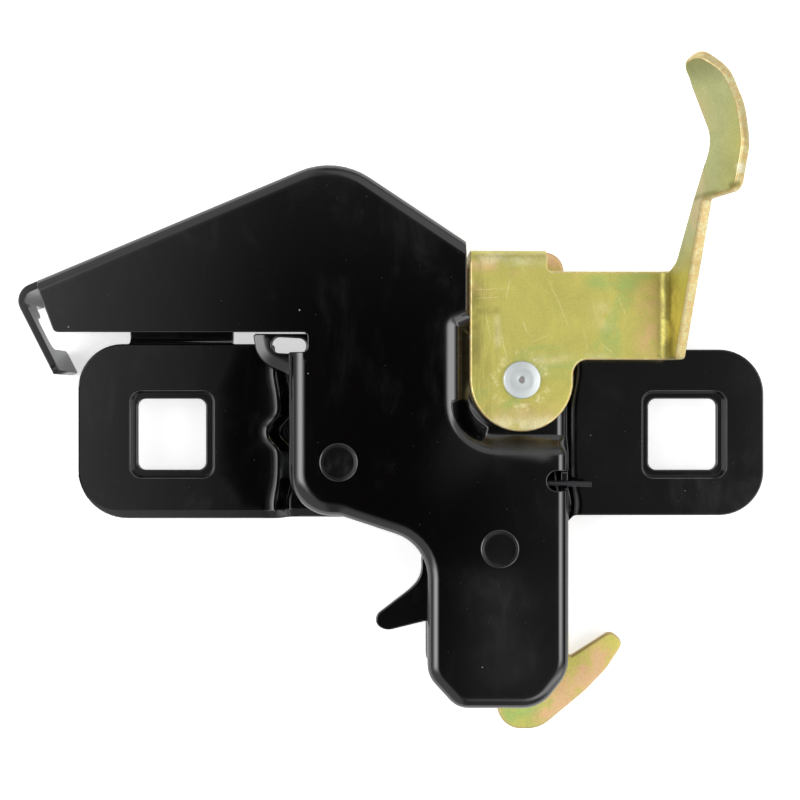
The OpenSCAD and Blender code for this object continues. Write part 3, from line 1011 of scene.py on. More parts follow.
    def press(self, points: Array) -> Array:
        """Presses the pads, the tray and the lips out of the flat blank.

        Args:
            points: places on the part before this step.

        Returns:
            Places after it.
        """
        at = points[:, [0, 2]]
        depth = np.zeros(len(at))
        for x in (self.pad_shift - self.hole_x, self.hole_x):
            gap = box_gap(at, (x, 0), self.pad, self.pad_corner)
            depth += self.pad_depth * ease((self.pad_edge - gap) / self.pad_wall)
        left = profile(at[:, 0] - self.joggle_x(0, at[:, 1]), self.left_wall, self.step_soft[0])
        right = profile(self.joggle_x(1, at[:, 1]) - at[:, 0], self.right_wall, self.step_soft[1])
        depth += np.minimum(left, right)
        drop, back = self.lip
        below = near(at, self.lip_line())
        fall = np.where(at[:, 0] < self.lip_end - 0.5, np.maximum(0, -below.gap), 0)
        fall = np.where(at[:, 0] < self.left + self.lip_corner, np.where(at[:, 1] < 0, fall, 0), fall)
        depth += back / drop * (np.hypot(fall, self.lip_soft) - self.lip_soft)
        over = (at[:, 0] > self.tab[0] - 1) & (at[:, 0] < self.tab[1] + 1) & (at[:, 1] > self.left_top - 1)
        rise = np.where(over, np.maximum(0, at[:, 1] - self.left_top), 0)
        depth += profile(rise, self.tab_wall, self.tab_soft)
        return points + np.outer(depth, (0, 1, 0))

    def build(self) -> Solid:
        """The whole base plate.

        Returns:
            The closed solid.
        """
        w, h = self.hole[0] / 2, self.hole[1] / 2
        loops, lines = [spaced(self.outline(), 4.0, closed=True)], []
        for x in (-self.hole_x, self.hole_x):
            loops.append(boxed((x, 0), (w, h), self.hole_r))
            x += self.pad_shift if x < 0 else 0
            for k in range(self.pad_rings + 1):
                off = self.pad_edge - self.pad_wall * k / self.pad_rings
                ring = boxed((x, 0), (self.pad[0] + off, self.pad[1] + off), self.pad_corner + off)
                lines.append(np.vstack((ring, ring[:1])))
        for pivot in (self.layout.hook_pivot, self.layout.post, self.layout.lever_pivot):
            loops.append(circle(pivot, self.bore))
        z = np.linspace(*self.step_run)
        for side in (0, 1):
            across = np.linspace(*self.step_lines) * (1 - 2 * side)
            lines += [np.column_stack((self.joggle_x(side, z) + k, z)) for k in across]
        lines += [beside(self.lip_line(), g) for g in self.lip_lines]
        tab = np.array(((self.tab[0] - 0.5, self.left_top), (self.tab[1] + 0.5, self.left_top)))
        lines += [tab + (0, k) for k in self.tab_lines]
        blank = Skin.flat(loops, lines, self.layout.wing_front)
        return blank.thickened(self.gauge, self.edge).formed(self.press)


# Moving pieces


@dataclass
class HookLever:
    """The black primary hook, with the cable eye at its upper left end.

    Attributes:
        layout: shared depths and pivots.
        gauge: plate thickness.
        edge: rounding of the sheared edges.
        bore: radius of the pivot hole.
        corners: outline, measured from the pivot.
        eye: ends of the cable eye, measured from the pivot, and its radius.
        curl: line of the coined edge round the eye, measured from the pivot.
        curl_size: width and depth of that edge.
    """

    layout: Layout
    gauge: float = 4.0
    edge: float = 0.5
    bore: float = 6.55
    corners: tuple[Corner, ...] = (
        (-13.5, -3, 9), (-11, 18, 10), (-17, 28.4, 5), (-27, 33, 9), (-28.4, 41.6, 1), (-6.5, 41.6, 4),
        (4, 14, 14), (13.5, 4, 8), (38, -26, 10), (36.8, -35.5, 6), (31.5, -42.5, 4), (31, -51.5, 2),
        (15.2, -55.4, 5), (9.2, -52.2, 3), (22.3, -42.2, 12), (26.6, -38, 9), (26.6, -28, 5), (6, -15, 10),
        (-9, -13, 8),
    )
    eye: tuple[Pair, Pair, float] = ((-19.6, 38.0), (-13.6, 37.4), 2.6)
    curl: tuple[Corner, ...] = ((-28.6, 43.0, 0), (-27, 33, 9), (-17, 28.4, 5), (-14.5, 24.0, 0))
    curl_size: Pair = (3.6, 0.75)

    def line(self) -> Array:
        """Line of the coined edge."""
        return spaced(rounded(self.curl, closed=False), 1.5) + np.array(self.layout.hook_pivot)

    def coin(self, points: Array) -> Array:
        """Flattens the front of the edge round the eye, and leaves the back face in place.

        Args:
            points: places on the part before this step.

        Returns:
            Places after it.
        """
        width, deep = self.curl_size
        gap = near(points[:, [0, 2]], self.line()).gap
        held = 1 - np.clip((points[:, 1] - self.layout.hook_front) / self.gauge, 0, 1)
        moved = points.copy()
        moved[:, 1] += deep * held * profile(gap, ((0.0, 1.0), (width, 0.0)), 0.3)
        return moved

    def build(self) -> Solid:
        """The whole hook lever.

        Returns:
            The closed solid.
        """
        x, z = self.layout.hook_pivot
        (x0, z0), (x1, z1), r = self.eye
        turn = r * 0.98
        eye = rounded([
            (x0 - r, z0 - r, turn), (x1 + r, z1 - r, turn), (x1 + r, z1 + r, turn), (x0 - r, z0 + r, turn),
        ])
        edge = spaced(rounded(self.corners), 3.0, closed=True)
        loops = [edge + (x, z), circle((x, z), self.bore), eye + (x, z)]
        lines = [beside(self.line(), self.curl_size[0] * k / 5) for k in range(1, 6)]
        blank = Skin.flat(loops, lines, self.layout.hook_front)
        return blank.thickened(self.gauge, self.edge).formed(self.coin)


@dataclass
class SafetyLever:
    """The yellow plated lever, folded from one blank into a U with a finger tab.

    The blank is measured from the pivot. Its height runs on over the fold and down the rear leg.

    Attributes:
        layout: shared depths and pivots.
        gauge: sheet thickness.
        edge: rounding of the sheared edges.
        bore: radius of the pivot holes.
        boss: radius of the boss.
        fold_top: top of the fold.
        fold_right: right end of the fold.
        fold_r: outer radius of the fold.
        slit: half width of the slit between the fold and the rear shoulder.
        rear_right: a place to the right of the whole rear leg.
        arm_top: top edge of the arm.
        arm_under: lower edge of the arm.
        tab_x: where the faces of the arm and the tab would meet.
        tab_r: inner radius of the bend into the tab.
        tab_lean: lean of the tab from straight forward, in degrees.
        pad_from: distance along the tab to the pad's bend.
        pad_lean: lean of the pad, in degrees.
        pad_r: radius of the pad's bend.
        pad_clear: height above which everything lies in the pad's plane.
        pad_tall: a length that clears the pad's upper end from there.
        curl_from: height at which the pad's upper end starts to curl to the left.
        curl_r: inner radius of that curl.
        curl_run: height over which mesh lines follow the curl.
        curl_lines: how many they are.
        bend_lines: how many mesh lines follow each other bend.
    """

    layout: Layout
    gauge: float = 3.4
    edge: float = 0.8
    bore: float = 4.05
    boss: float = 16.6
    fold_top: float = 41.8
    fold_right: float = 8.4
    fold_r: float = 4.8
    slit: float = 0.35
    rear_right: float = 40.0
    arm_top: float = 34.8
    arm_under: float = 6.4
    tab_x: float = 46.5
    tab_r: float = 3.2
    tab_lean: float = 10.0
    pad_from: float = 31.5
    pad_lean: float = 30.0
    pad_r: float = 9.0
    pad_clear: float = 70.0
    pad_tall: float = 40.0
    curl_from: float = 86.0
    curl_r: float = 14.0
    curl_run: float = 9.3
    curl_lines: int = 7
    bend_lines: int = 9

    def __post_init__(self) -> None:
        """Works out where the bends start and end on the blank."""
        turn = math.radians(90 - self.tab_lean)
        ease_in = self.tab_r * math.tan(turn / 2)
        self.tab_start = self.tab_x - ease_in
        self.tab_end = self.tab_start + self.tab_r * turn
        self.tab_turn = turn
        self.pad_turn = math.radians(self.pad_lean - self.tab_lean)
        pad_line = self.tab_end + self.pad_from - ease_in
        self.pad_line = pad_line
        self.pad_start = pad_line - self.pad_r * math.tan(self.pad_turn / 2)
        self.pad_end = self.pad_start + self.pad_r * self.pad_turn
        arc = self.fold_r * math.pi / 2
        self.fold_start = self.fold_top - self.fold_r
        self.top_start = self.fold_start + arc
        self.top_end = self.top_start + self.layout.leg_rear - self.layout.leg_front - 2 * self.fold_r
        self.fold_end = self.top_end + arc
        self.rear_zero = self.fold_end + self.fold_start

    def outline(self) -> Array:
        """Outline of the flat blank.

        Returns:
            The outline's points.
        """
        b, p, rear = self.boss, self.pad_line, self.rear_zero
        tab = self.tab_end - self.tab_r * math.tan(self.tab_turn / 2)
        right, slit = self.fold_right, self.slit
        return rounded([
            (-b, -b, b * 0.999), (b, -b, b * 0.999), (b, self.arm_under, 4.5),
            (tab + 7.4, self.arm_under, 1.5), (p - 1.4, 53.6, 1.0), (p + 13.2, 55.0, 4),
            (p + 16.8, 68.5, 14), (p + 14.6, 80, 20), (p + 8.8, 90.6, 14),
            (p + 1.6, 97.2, 6), (p - 6.6, 95.9, 3.5), (p - 5.6, 88, 6), (p + 3.2, 71, 9), (p, 64.3, 3),
            (tab + 22.5, 54.6, 8),
            (tab + 8, 37.2, 8), (tab + 1.5, self.arm_top, 3), (right, self.arm_top, 1.6),
            (right, self.fold_end + 0.8, slit), (right + 2 * slit, self.fold_end + 0.8, slit),
            (right + 2 * slit, rear - 43.4, 1.5), (16.2, rear - 43.4, 6.4), (16.2, rear - 31, 2),
            (5.65, rear - 31, 3), (5.65, rear - 15, 5), (b, rear, 7), (12, rear + 40, 30),
            (16, rear + 74, 14), (17.6, rear + 93.6, 1.2), (32.0, rear + 84.4, 2.6),
            (36.6, rear + 88.0, 2.8), (30.9, rear + 96.8, 18), (23.7, rear + 104.4, 26),
            (8, rear + 117.4, 11), (-5.6, rear + 117.4, 8), (-9, rear + 70, 40), (-b, rear + 6, 40),
        ])

    def fold(self, points: Array) -> Array:
        """Folds the flat blank into the lever.

        Args:
            points: places on the blank, with the depth below its front face as Y.

        Returns:
            Places on the lever.
        """
        u, w, v = points.T
        x, y, z = u.copy(), self.layout.leg_front + w, v.copy()

        turn = np.clip((u - self.tab_start) / self.tab_r, 0, self.tab_turn)
        radius = self.tab_r + w
        past = np.maximum(0, u - self.tab_end)
        tab = u > self.tab_start
        bend_y = self.layout.leg_front - self.tab_r
        x = np.where(tab, self.tab_start + radius * np.sin(turn) + past * np.cos(turn), x)
        y = np.where(tab, bend_y + radius * np.cos(turn) - past * np.sin(turn), y)

        lean = self.tab_turn - self.pad_turn
        cos, sin = math.cos(self.tab_turn), math.sin(self.tab_turn)
        start = np.array((self.tab_start + self.tab_r * sin, bend_y + self.tab_r * cos))
        start = start + (self.pad_start - self.tab_end) * np.array((cos, -sin))
        hub = start + self.pad_r * np.array((sin, cos))
        bend = np.clip((u - self.pad_start) / self.pad_r, 0, self.pad_turn)
        flat_pad = v > self.pad_clear
        bend = np.where(flat_pad, self.pad_turn, bend)
        beyond = np.where(flat_pad, u - self.pad_end, np.maximum(0, u - self.pad_end))
        way = self.tab_turn - bend
        out = self.pad_r - w
        pad = (u > self.pad_start) | (flat_pad & (u > self.tab_end))
        pad &= v < self.pad_clear + self.pad_tall
        x = np.where(pad, hub[0] - out * np.sin(way) + beyond * math.cos(lean), x)
        y = np.where(pad, hub[1] - out * np.cos(way) - beyond * math.sin(lean), y)

        curl = pad & (v > self.curl_from)
        phi = np.maximum(0, v - self.curl_from) / self.curl_r
        sway = (self.curl_r + w) * (np.cos(phi) - 1)
        x = np.where(curl, x + math.sin(lean) * sway, x)
        y = np.where(curl, y + math.cos(lean) * sway, y)
        z = np.where(curl, self.curl_from + (self.curl_r + w) * np.sin(phi), z)

        left = u < self.fold_right + self.slit
        arc = self.fold_r - w
        up = np.clip((v - self.fold_start) / self.fold_r, 0, math.pi / 2)
        down = np.clip((v - self.top_end) / self.fold_r, 0, math.pi / 2)
        front = left & (v > self.fold_start) & (v <= self.top_end)
        y = np.where(front, self.layout.leg_front + self.fold_r - arc * np.cos(up)
                     + np.maximum(0, v - self.top_start), y)
        z = np.where(front, self.fold_start + arc * np.sin(up), z)
        back = left & (v > self.top_end) & (v <= self.fold_end)
        y = np.where(back, self.layout.leg_rear - self.fold_r + arc * np.sin(down), y)
        z = np.where(back, self.fold_start + arc * np.cos(down), z)
        rear = (left & (v > self.fold_end)) | (~left & (u < self.rear_right) & (v > self.top_end))
        y = np.where(rear, self.layout.leg_rear - w, y)
        z = np.where(rear, self.rear_zero - v, z)
        cx, cz = self.layout.lever_pivot
        return np.column_stack((x + cx, y, z + cz))

    def build(self) -> Solid:
        """The whole safety lever.

        Returns:
            The closed solid.
        """
        loops = [spaced(self.outline(), 2.5, closed=True), circle((0, 0), self.bore),
                 circle((0, self.rear_zero), self.bore)]
        lines = []
        for a, b in ((self.tab_start, self.tab_end), (self.pad_start, self.pad_end)):
            for x in np.linspace(a, b, self.bend_lines):
                lines.append(spaced(np.array(((x, 0.0), (x, self.pad_clear - 2))), 4.0))
        for v in np.linspace(self.curl_from, self.curl_from + self.curl_run, self.curl_lines):
            lines.append(np.array(((self.pad_line - 12, v), (self.pad_line + 20, v))))
        for a, b in ((self.fold_start, self.top_start), (self.top_end, self.fold_end)):
            for v in np.linspace(a, b, self.bend_lines):
                lines.append(spaced(np.array(((-20.0, v), (self.fold_right + 0.2, v))), 5.0))
        blank = Skin.flat(loops, lines)
        return blank.thickened(self.gauge, self.edge).formed(self.fold)


# Node trees


class Value:
    """A shader value: sums and products of it add Math nodes."""

    def __init__(self, tree: "Tree", socket: bpy.types.NodeSocket) -> None:
        """Wraps a socket of a tree."""
        self.tree = tree
        self.socket = socket

    def math(self, operation: str, *others: "Value | float") -> "Value":
        """A Math node whose first value is this one."""
        return self.tree.node("ShaderNodeMath", {"operation": operation}, dict(enumerate((self, *others))))

    def __add__(self, other: "Value | float") -> "Value":
        """The sum with another value."""
        return self.math("ADD", other)

    def __mul__(self, other: "Value | float") -> "Value":
        """The product with another value."""
        return self.math("MULTIPLY", other)

    def __sub__(self, other: "Value | float") -> "Value":
        """The difference from another value."""
        return self.math("SUBTRACT", other)

    def __rsub__(self, other: float) -> "Value":
        """A number less this value."""
        return self.tree.node("ShaderNodeMath", {"operation": "SUBTRACT"}, {0: other, 1: self})

    __radd__ = __add__
    __rmul__ = __mul__

    def over(self, low: float, high: float) -> "Value":
        """A smooth rise from 0 at low to 1 at high."""
        return self.tree.node("ShaderNodeMapRange", {"interpolation_type": "SMOOTHSTEP"},
                              {"Value": self, "From Min": low, "From Max": high})

    def band(self, low: float, full: float, still: float, high: float) -> "Value":
        """A smooth rise from 0 to 1 and back to 0."""
        return self.over(low, full) * (1 - self.over(still, high))


@dataclass(frozen=True)
class Layer:
    """A layer of smooth noise.

    Attributes:
        scale: waves per metre.
        detail: how many finer layers it has.
        rough: strength of the finer layers.
        swirl: how much it is swirled.
        stretch: how much its coordinates are stretched.
        turn: how far they are turned before that, in radians.
        span: the noise that becomes 0 and the noise that becomes 1, or None to leave it as it is.
    """

    scale: float
    detail: float = 2.0
    rough: float = 0.5
    swirl: float = 0.0
    stretch: Corner = (1, 1, 1)
    turn: Corner = (0, 0, 0)
    span: Pair | None = None


Input = Value | float | tuple[float, ...]
Patch = tuple[Pair, Pair, float, float]


class Tree:
    """A node tree that is written as expressions."""

    def __init__(self, tree: bpy.types.NodeTree) -> None:
        """Starts an empty tree."""
        self.tree = tree
        tree.nodes.clear()

    def node(self, kind: str, settings: dict[str, object] | None = None,
             inputs: dict[str | int, Input] | None = None, out: str | int = 0) -> Value:
        """Adds a node.

        Args:
            kind: the node's type.
            settings: its properties, set first.
            inputs: values or links of its sockets, by name or number.
            out: the output that is returned.

        Returns:
            That output.
        """
        made = self.tree.nodes.new(kind)
        for name, setting in (settings or {}).items():
            setattr(made, name, setting)
        for name, given in (inputs or {}).items():
            if isinstance(given, Value):
                self.tree.links.new(given.socket, made.inputs[name])
            else:
                made.inputs[name].default_value = given
        return Value(self, made.outputs[out] if len(made.outputs) else None)

    def mix(self, share: Value | float, a: Input, b: Input) -> Value:
        """A colour between two colours."""
        return self.node("ShaderNodeMix", {"data_type": "RGBA"}, {0: share, 6: a, 7: b}, 2)

    def places(self, scale: Corner = (1, 1, 1), turn: Corner = (0, 0, 0)) -> Value:
        """Object coordinates, turned and then stretched.

        Args:
            scale: the stretch.
            turn: the turn, in radians.

        Returns:
            The coordinates.
        """
        at = self.node("ShaderNodeTexCoord", out="Object")
        turned = self.node("ShaderNodeMapping", {"vector_type": "POINT"}, {"Vector": at, "Rotation": turn})
        return self.vector("MULTIPLY", turned, scale)

    def vector(self, operation: str, *inputs: Input, out: str | int = 0) -> Value:
        """A Vector Math node."""
        return self.node("ShaderNodeVectorMath", {"operation": operation}, dict(enumerate(inputs)), out)

    def part(self, at: Value, axis: str) -> Value:
        """One coordinate."""
        return self.node("ShaderNodeSeparateXYZ", {}, {0: at}, axis)

    def bump(self, height: Value, size: Pair) -> Value:
        """A bumpy normal."""
        strength, depth = size
        return self.node("ShaderNodeBump", {}, {"Strength": strength, "Distance": depth, "Height": height})

    def noise(self, layer: Layer) -> Value:
        """Smooth noise.

        Args:
            layer: what it is like.

        Returns:
            The noise, from 0 to 1.
        """
        made = self.node("ShaderNodeTexNoise", {}, {
            "Vector": self.places(layer.stretch, layer.turn), "Scale": layer.scale,
            "Detail": layer.detail, "Roughness": layer.rough, "Distortion": layer.swirl,
        }, "Fac")
        return made.over(*layer.span) if layer.span else made

    def specks(self, at: Value, scale: float, size: float, share: float) -> Value:
        """Scattered specks.

        Args:
            at: coordinates.
            scale: cells per metre.
            size: radius of a speck, in cells.
            share: share of the cells that have one.

        Returns:
            1 in a speck and 0 outside.
        """
        cells = {"Vector": at, "Scale": scale}
        near_by = self.node("ShaderNodeTexVoronoi", {"feature": "F1"}, cells, "Distance")
        colour = self.node("ShaderNodeTexVoronoi", {"feature": "F1"}, cells, "Color")
        pick = self.node("ShaderNodeSeparateColor", {}, {"Color": colour}, 0)
        return (1 - near_by.over(size * 0.6, size)) * pick.math("LESS_THAN", share)

    def radius(self, at: Value, centre: Pair) -> Value:
        """Distance from a line along Y.

        Args:
            at: coordinates.
            centre: x and z of the line, in millimetres.

        Returns:
            The distance in metres.
        """
        middle = (centre[0] * MM, 0.0, centre[1] * MM)
        flat = self.vector("MULTIPLY", self.vector("SUBTRACT", at, middle), (1, 0, 1))
        return self.vector("LENGTH", flat, out="Value")

    def scratch(self, at: Value, start: Pair, end: Pair, width: float) -> Value:
        """A straight scratch on a face that looks forward.

        Args:
            at: coordinates.
            start: x and z of one end, in millimetres.
            end: x and z of the other end.
            width: width of the scratch.

        Returns:
            1 on the scratch and 0 off it.
        """
        a = np.array((start[0], 0, start[1])) * MM
        b = np.array((end[0], 0, end[1])) * MM
        way = (b - a) / np.linalg.norm(b - a)
        off = self.vector("SUBTRACT", at, tuple(a))
        along = self.vector("DOT_PRODUCT", off, tuple(way), out="Value")
        across = self.vector("DOT_PRODUCT", off, (-way[2], 0.0, way[0]), out="Value").math("ABSOLUTE")
        length = float(np.linalg.norm(b - a))
        ends = along.band(0, length * 0.25, length * 0.75, length)
        return ends * (1 - across.over(0, width * MM))

    def patched(self, at: Value, colour: Input, tint: Colour, patches: Sequence[Patch],
                spread: Value | float = 1.0) -> Value:
        """Colours patches of a face.

        Args:
            at: coordinates.
            colour: colour of the face.
            tint: colour of the patches.
            patches: ends and half width of each patch in millimetres, and its share.
            spread: where on the face the patches take hold.

        Returns:
            The face's colour with the patches.
        """
        for start, end, width, share in patches:
            there = self.scratch(at, start, end, width) * (spread * share)
            colour = self.mix(there.math("MINIMUM", 1.0), colour, tint)
        return colour


def material(name: str) -> tuple[Material, Tree]:
    """A new material and its tree.

    Args:
        name: its name.

    Returns:
        The material and its empty tree.
    """
    made = bpy.data.materials.new(name)
    made.use_nodes = True
    return made, Tree(made.node_tree)


def surface(tree: Tree, inputs: dict[str | int, Input]) -> None:
    """Ends a material's tree in a Principled shader with the given sockets."""
    shader = tree.node("ShaderNodeBsdfPrincipled", {}, inputs)
    tree.node("ShaderNodeOutputMaterial", {}, {"Surface": shader})


# Finishes


@dataclass(frozen=True)
class BlackPaint:
    """Satin black paint with dust, faint smears and a little orange peel.

    Attributes:
        name: the material's name.
        colour: colour of the paint.
        dust: colour of the dust.
        gloss: roughness of clean and of smeared paint.
        specks: share of places with a speck of dust.
        haze: strength of the smears.
        smears: places of heavier smears.
        rub: how much rougher these places are.
        large: cells per metre, size and strength of the large specks.
        small: the same of the small specks.
        smear: layer of the smears.
        cloud: layer that breaks up the heavier ones.
        fine: layer of the orange peel.
        peel: strength of the orange peel, and its depth in metres.
        ior: refractive index of the paint.
    """

    name: str
    colour: Colour = (0.0016, 0.0012, 0.0013, 1)
    dust: Colour = (0.42, 0.42, 0.44, 1)
    gloss: Pair = (0.1, 0.2)
    specks: float = 0.5
    haze: float = 0.006
    smears: tuple[Patch, ...] = (
        ((20.0, -36.0), (27.0, -88.0), 20.0, 0.016), ((17.0, -2.5), (43.0, -6.0), 5.0, 0.05),
    )
    rub: float = 7.0
    large: Corner = (120.0, 0.035, 0.8)
    small: Corner = (330.0, 0.06, 0.12)
    smear: Layer = Layer(60, 6, 0.7, 0.6, (1, 1, 0.5), span=(0.48, 0.8))
    cloud: Layer = Layer(110, 6, 0.75, 0.8, span=(0.36, 0.74))
    fine: Layer = Layer(900, 2)
    peel: Pair = (0.012, 0.0004)
    ior: float = 1.8

    def build(self) -> Material:
        """Makes the material.

        Returns:
            The material.
        """
        made, tree = material(self.name)
        at = tree.places()
        smear = tree.noise(self.smear)
        cloud = tree.noise(self.cloud)
        large, small = (
            tree.specks(at, scale, size, self.specks) * strength
            for scale, size, strength in (self.large, self.small)
        )
        dust = large + small
        veil = smear * self.haze
        rubbed: Value | float = 0.0
        for start, end, width, share in self.smears:
            there = tree.scratch(at, start, end, width)
            veil = veil + there * cloud * share
            rubbed = there * (share * self.rub) + rubbed
        haze = tree.mix(veil, self.colour, self.dust)
        surface(tree, {
            "Base Color": tree.mix(dust, haze, self.dust),
            "Roughness": self.gloss[0] + smear * (self.gloss[1] - self.gloss[0]) + dust * 0.4 + rubbed,
            "IOR": self.ior,
            "Normal": tree.bump(tree.noise(self.fine), self.peel),
        })
        return made


@dataclass(frozen=True)
class YellowZinc:
    """Yellow passivated zinc with green and pink bloom, scuffs and scratches, and painted light,
    highlights, glints and shade.

    Attributes:
        name: the material's name.
        yellow: colour of most of the plating.
        green: colour of its green patches.
        pink: colour of its pink patches.
        pale: colour of scuffed places, of the pale patches and of the painted highlight along the boss's
            lower edge.
        sheared: colour of the sheared edges.
        rear_edge: colour of the sheared edges of the rear leg, and of the darker line along the tab's edge
            corners.
        dull: colour of greyish places.
        dark: colour of the plating's fine pits and dark patches, and of the painted shade in
            dark_and_shade_at.
        bright: colour of the painted glints, highlights on the sheared edges.
        green_at: green patches, with the ends and half width of each in millimetres, and its share.
        pink_at: pink patches.
        dark_and_shade_at: dark patches; the one along the lever's left edge is a painted dark reflection of
            the black cover, and the one in the crease of the bend into the tab is painted shade.
        pale_and_highlight_at: pale patches; the one along the boss's lower edge is a painted highlight.
        dull_at: greyish patches.
        glints: bright places on the sheared edges.
        dark_edge_spots: darker spots on the pad's sheared edges, under a glint and along its lower edge.
        scratches: ends and width of each scratch, in millimetres.
        waver: waves per metre and depth in metres of the scratches' waviness.
        rubbed: radii where the rubbed ring round the pivot rises and falls, in millimetres.
        streaked: x where the streaks beside the left edge fade out, in millimetres.
        edge_line_from: x where the darker line along the corners of the sheared edges comes in, in
            millimetres.
        bloom: layer of the green bloom.
        drift: layer of the pink bloom.
        tone: layer of light and dark.
        streak: layer of the streaks.
        scuff: layer of the scuffs.
        worn: layer that breaks up the rubbed ring.
        blur: layer that breaks up the patches.
        shear: layer of the sheared edges.
        grain: layer of the drawn grain.
        mottle: layer of the fine pits.
        pits: strength of the grain and pits, and their depth in metres.
        metallic: how metallic the plating is.
    """

    name: str
    yellow: Colour = (0.66, 0.60, 0.155, 1)
    green: Colour = (0.46, 0.58, 0.17, 1)
    pink: Colour = (0.86, 0.54, 0.29, 1)
    pale: Colour = (0.95, 0.87, 0.50, 1)
    sheared: Colour = (0.88, 0.62, 0.28, 1)
    rear_edge: Colour = (0.40, 0.27, 0.15, 1)
    dull: Colour = (0.53, 0.55, 0.25, 1)
    dark: Colour = (0.30, 0.26, 0.07, 1)
    bright: Colour = (1.0, 0.95, 0.72, 1)
    green_at: tuple[Patch, ...] = (
        ((48.0, 49.0), (70.0, 49.0), 4.5, 0.9), ((24.0, -95.0), (40.0, -90.0), 5.5, 1.6),
        ((20.0, 56.0), (40.0, 56.0), 3.0, 0.7),
    )
    pink_at: tuple[Patch, ...] = (
        ((70.5, 22.0), (71.5, 52.0), 7.0, 0.7), ((36.0, -101.0), (64.0, -70.0), 7.5, 1.6),
        ((14.0, 6.0), (46.0, 6.0), 7.0, 0.45), ((12.0, 55.0), (24.0, 55.0), 4.0, 0.8),
        ((39.0, 62.5), (48.0, 54.0), 5.0, 1.4), ((18.0, -99.0), (38.0, -105.0), 3.0, 1.2),
        ((78.0, 106.0), (82.0, 88.0), 5.5, 0.45),
    )
    dark_and_shade_at: tuple[Patch, ...] = (
        # The first patch is a painted dark reflection of the black cover along the lever's left edge.
        ((14.6, 14.0), (14.8, 56.0), 4.5, 0.75), ((14.0, 40.0), (24.0, 40.0), 2.5, 0.45),
        # Painted shade in the crease of the bend into the tab, which dims the bend's reflection.
        ((75.9, -2.0), (76.2, 60.0), 3.4, 1.4),
    )
    pale_and_highlight_at: tuple[Patch, ...] = (
        ((54.0, 44.0), (58.0, 32.0), 5.0, 0.35),
        # The first patch below, along the boss's lower edge, is a painted highlight.
        ((16.0, 2.5), (44.0, 2.5), 6.0, 1.1), ((30.0, 24.0), (62.0, 24.5), 3.0, 0.4),
        ((22.0, 40.0), (22.5, 26.0), 2.0, 0.5), ((12.0, 57.0), (42.0, 57.0), 4.0, 0.8),
    )
    dull_at: tuple[Patch, ...] = (((76.0, 50.0), (82.0, 124.0), 16.0, 1.5),)
    # Painted highlights on the pad's sheared edge.
    glints: tuple[Patch, ...] = (
        ((90.0, 80.6), (90.3, 77.4), 1.8, 1.0), ((92.6, 96.0), (92.8, 84.0), 1.2, 0.4),
    )
    # Darker spots on the pad's sheared edges, under a glint and along its lower edge.
    dark_edge_spots: tuple[Patch, ...] = (
        ((87.0, 74.0), (91.0, 74.8), 1.7, 0.9), ((78.0, 72.4), (86.0, 73.2), 1.2, 0.7),
    )
    scratches: tuple[tuple[Pair, Pair, float], ...] = (
        ((14.5, 47.2), (27.0, 47.6), 0.16), ((14.6, 44.6), (25.0, 45.0), 0.14),
        ((38.5, 52.0), (46.5, 34.0), 0.22), ((27.0, 51.0), (25.4, 44.0), 0.25),
        ((31.0, 37.5), (32.4, 33.0), 0.3), ((61.0, 46.0), (64.0, 38.5), 0.18),
        ((24.0, 33.5), (26.0, 25.0), 0.22), ((56.0, 30.0), (60.0, 27.0), 0.2),
        ((33.0, 30.0), (40.0, 33.0), 0.14), ((50.0, 36.0), (52.0, 26.0), 0.12),
        ((19.0, 40.0), (21.0, 30.0), 0.16),
    )
    waver: Pair = (220.0, 0.0012)
    rubbed: tuple[float, ...] = (6.6, 7.6, 8.6, 11.0)
    streaked: Pair = (18.0, 27.0)
    edge_line_from: Pair = (77.0, 80.0)
    bloom: Layer = Layer(30, 4, 0.6, 1.4, span=(0.5, 0.7))
    drift: Layer = Layer(36, 4, 0.6, 1.0, (1, 1, 0.6), (0.4, 0.9, 0.2), (0.56, 0.72))
    tone: Layer = Layer(95, 5, 0.65, 0.8, (1, 1, 0.7), (0, 0.4, 0))
    streak: Layer = Layer(330, 4, 0.7, stretch=(1, 1, 0.1), span=(0.46, 0.64))
    scuff: Layer = Layer(130, 6, 0.75, 0.6, (1, 1, 0.4), (0, 0.5, 0), (0.58, 0.82))
    worn: Layer = Layer(260, 4, 0.7, span=(0.46, 0.62))
    blur: Layer = Layer(150, 4, 0.65, span=(0.3, 0.62))
    shear: Layer = Layer(520, 4, 0.7, span=(0.4, 0.65))
    grain: Layer = Layer(1400, 3, 0.6, stretch=(1, 1, 0.3))
    mottle: Layer = Layer(2400, 4, 0.8)
    pits: Pair = (0.12, 0.0003)
    metallic: float = 0.75

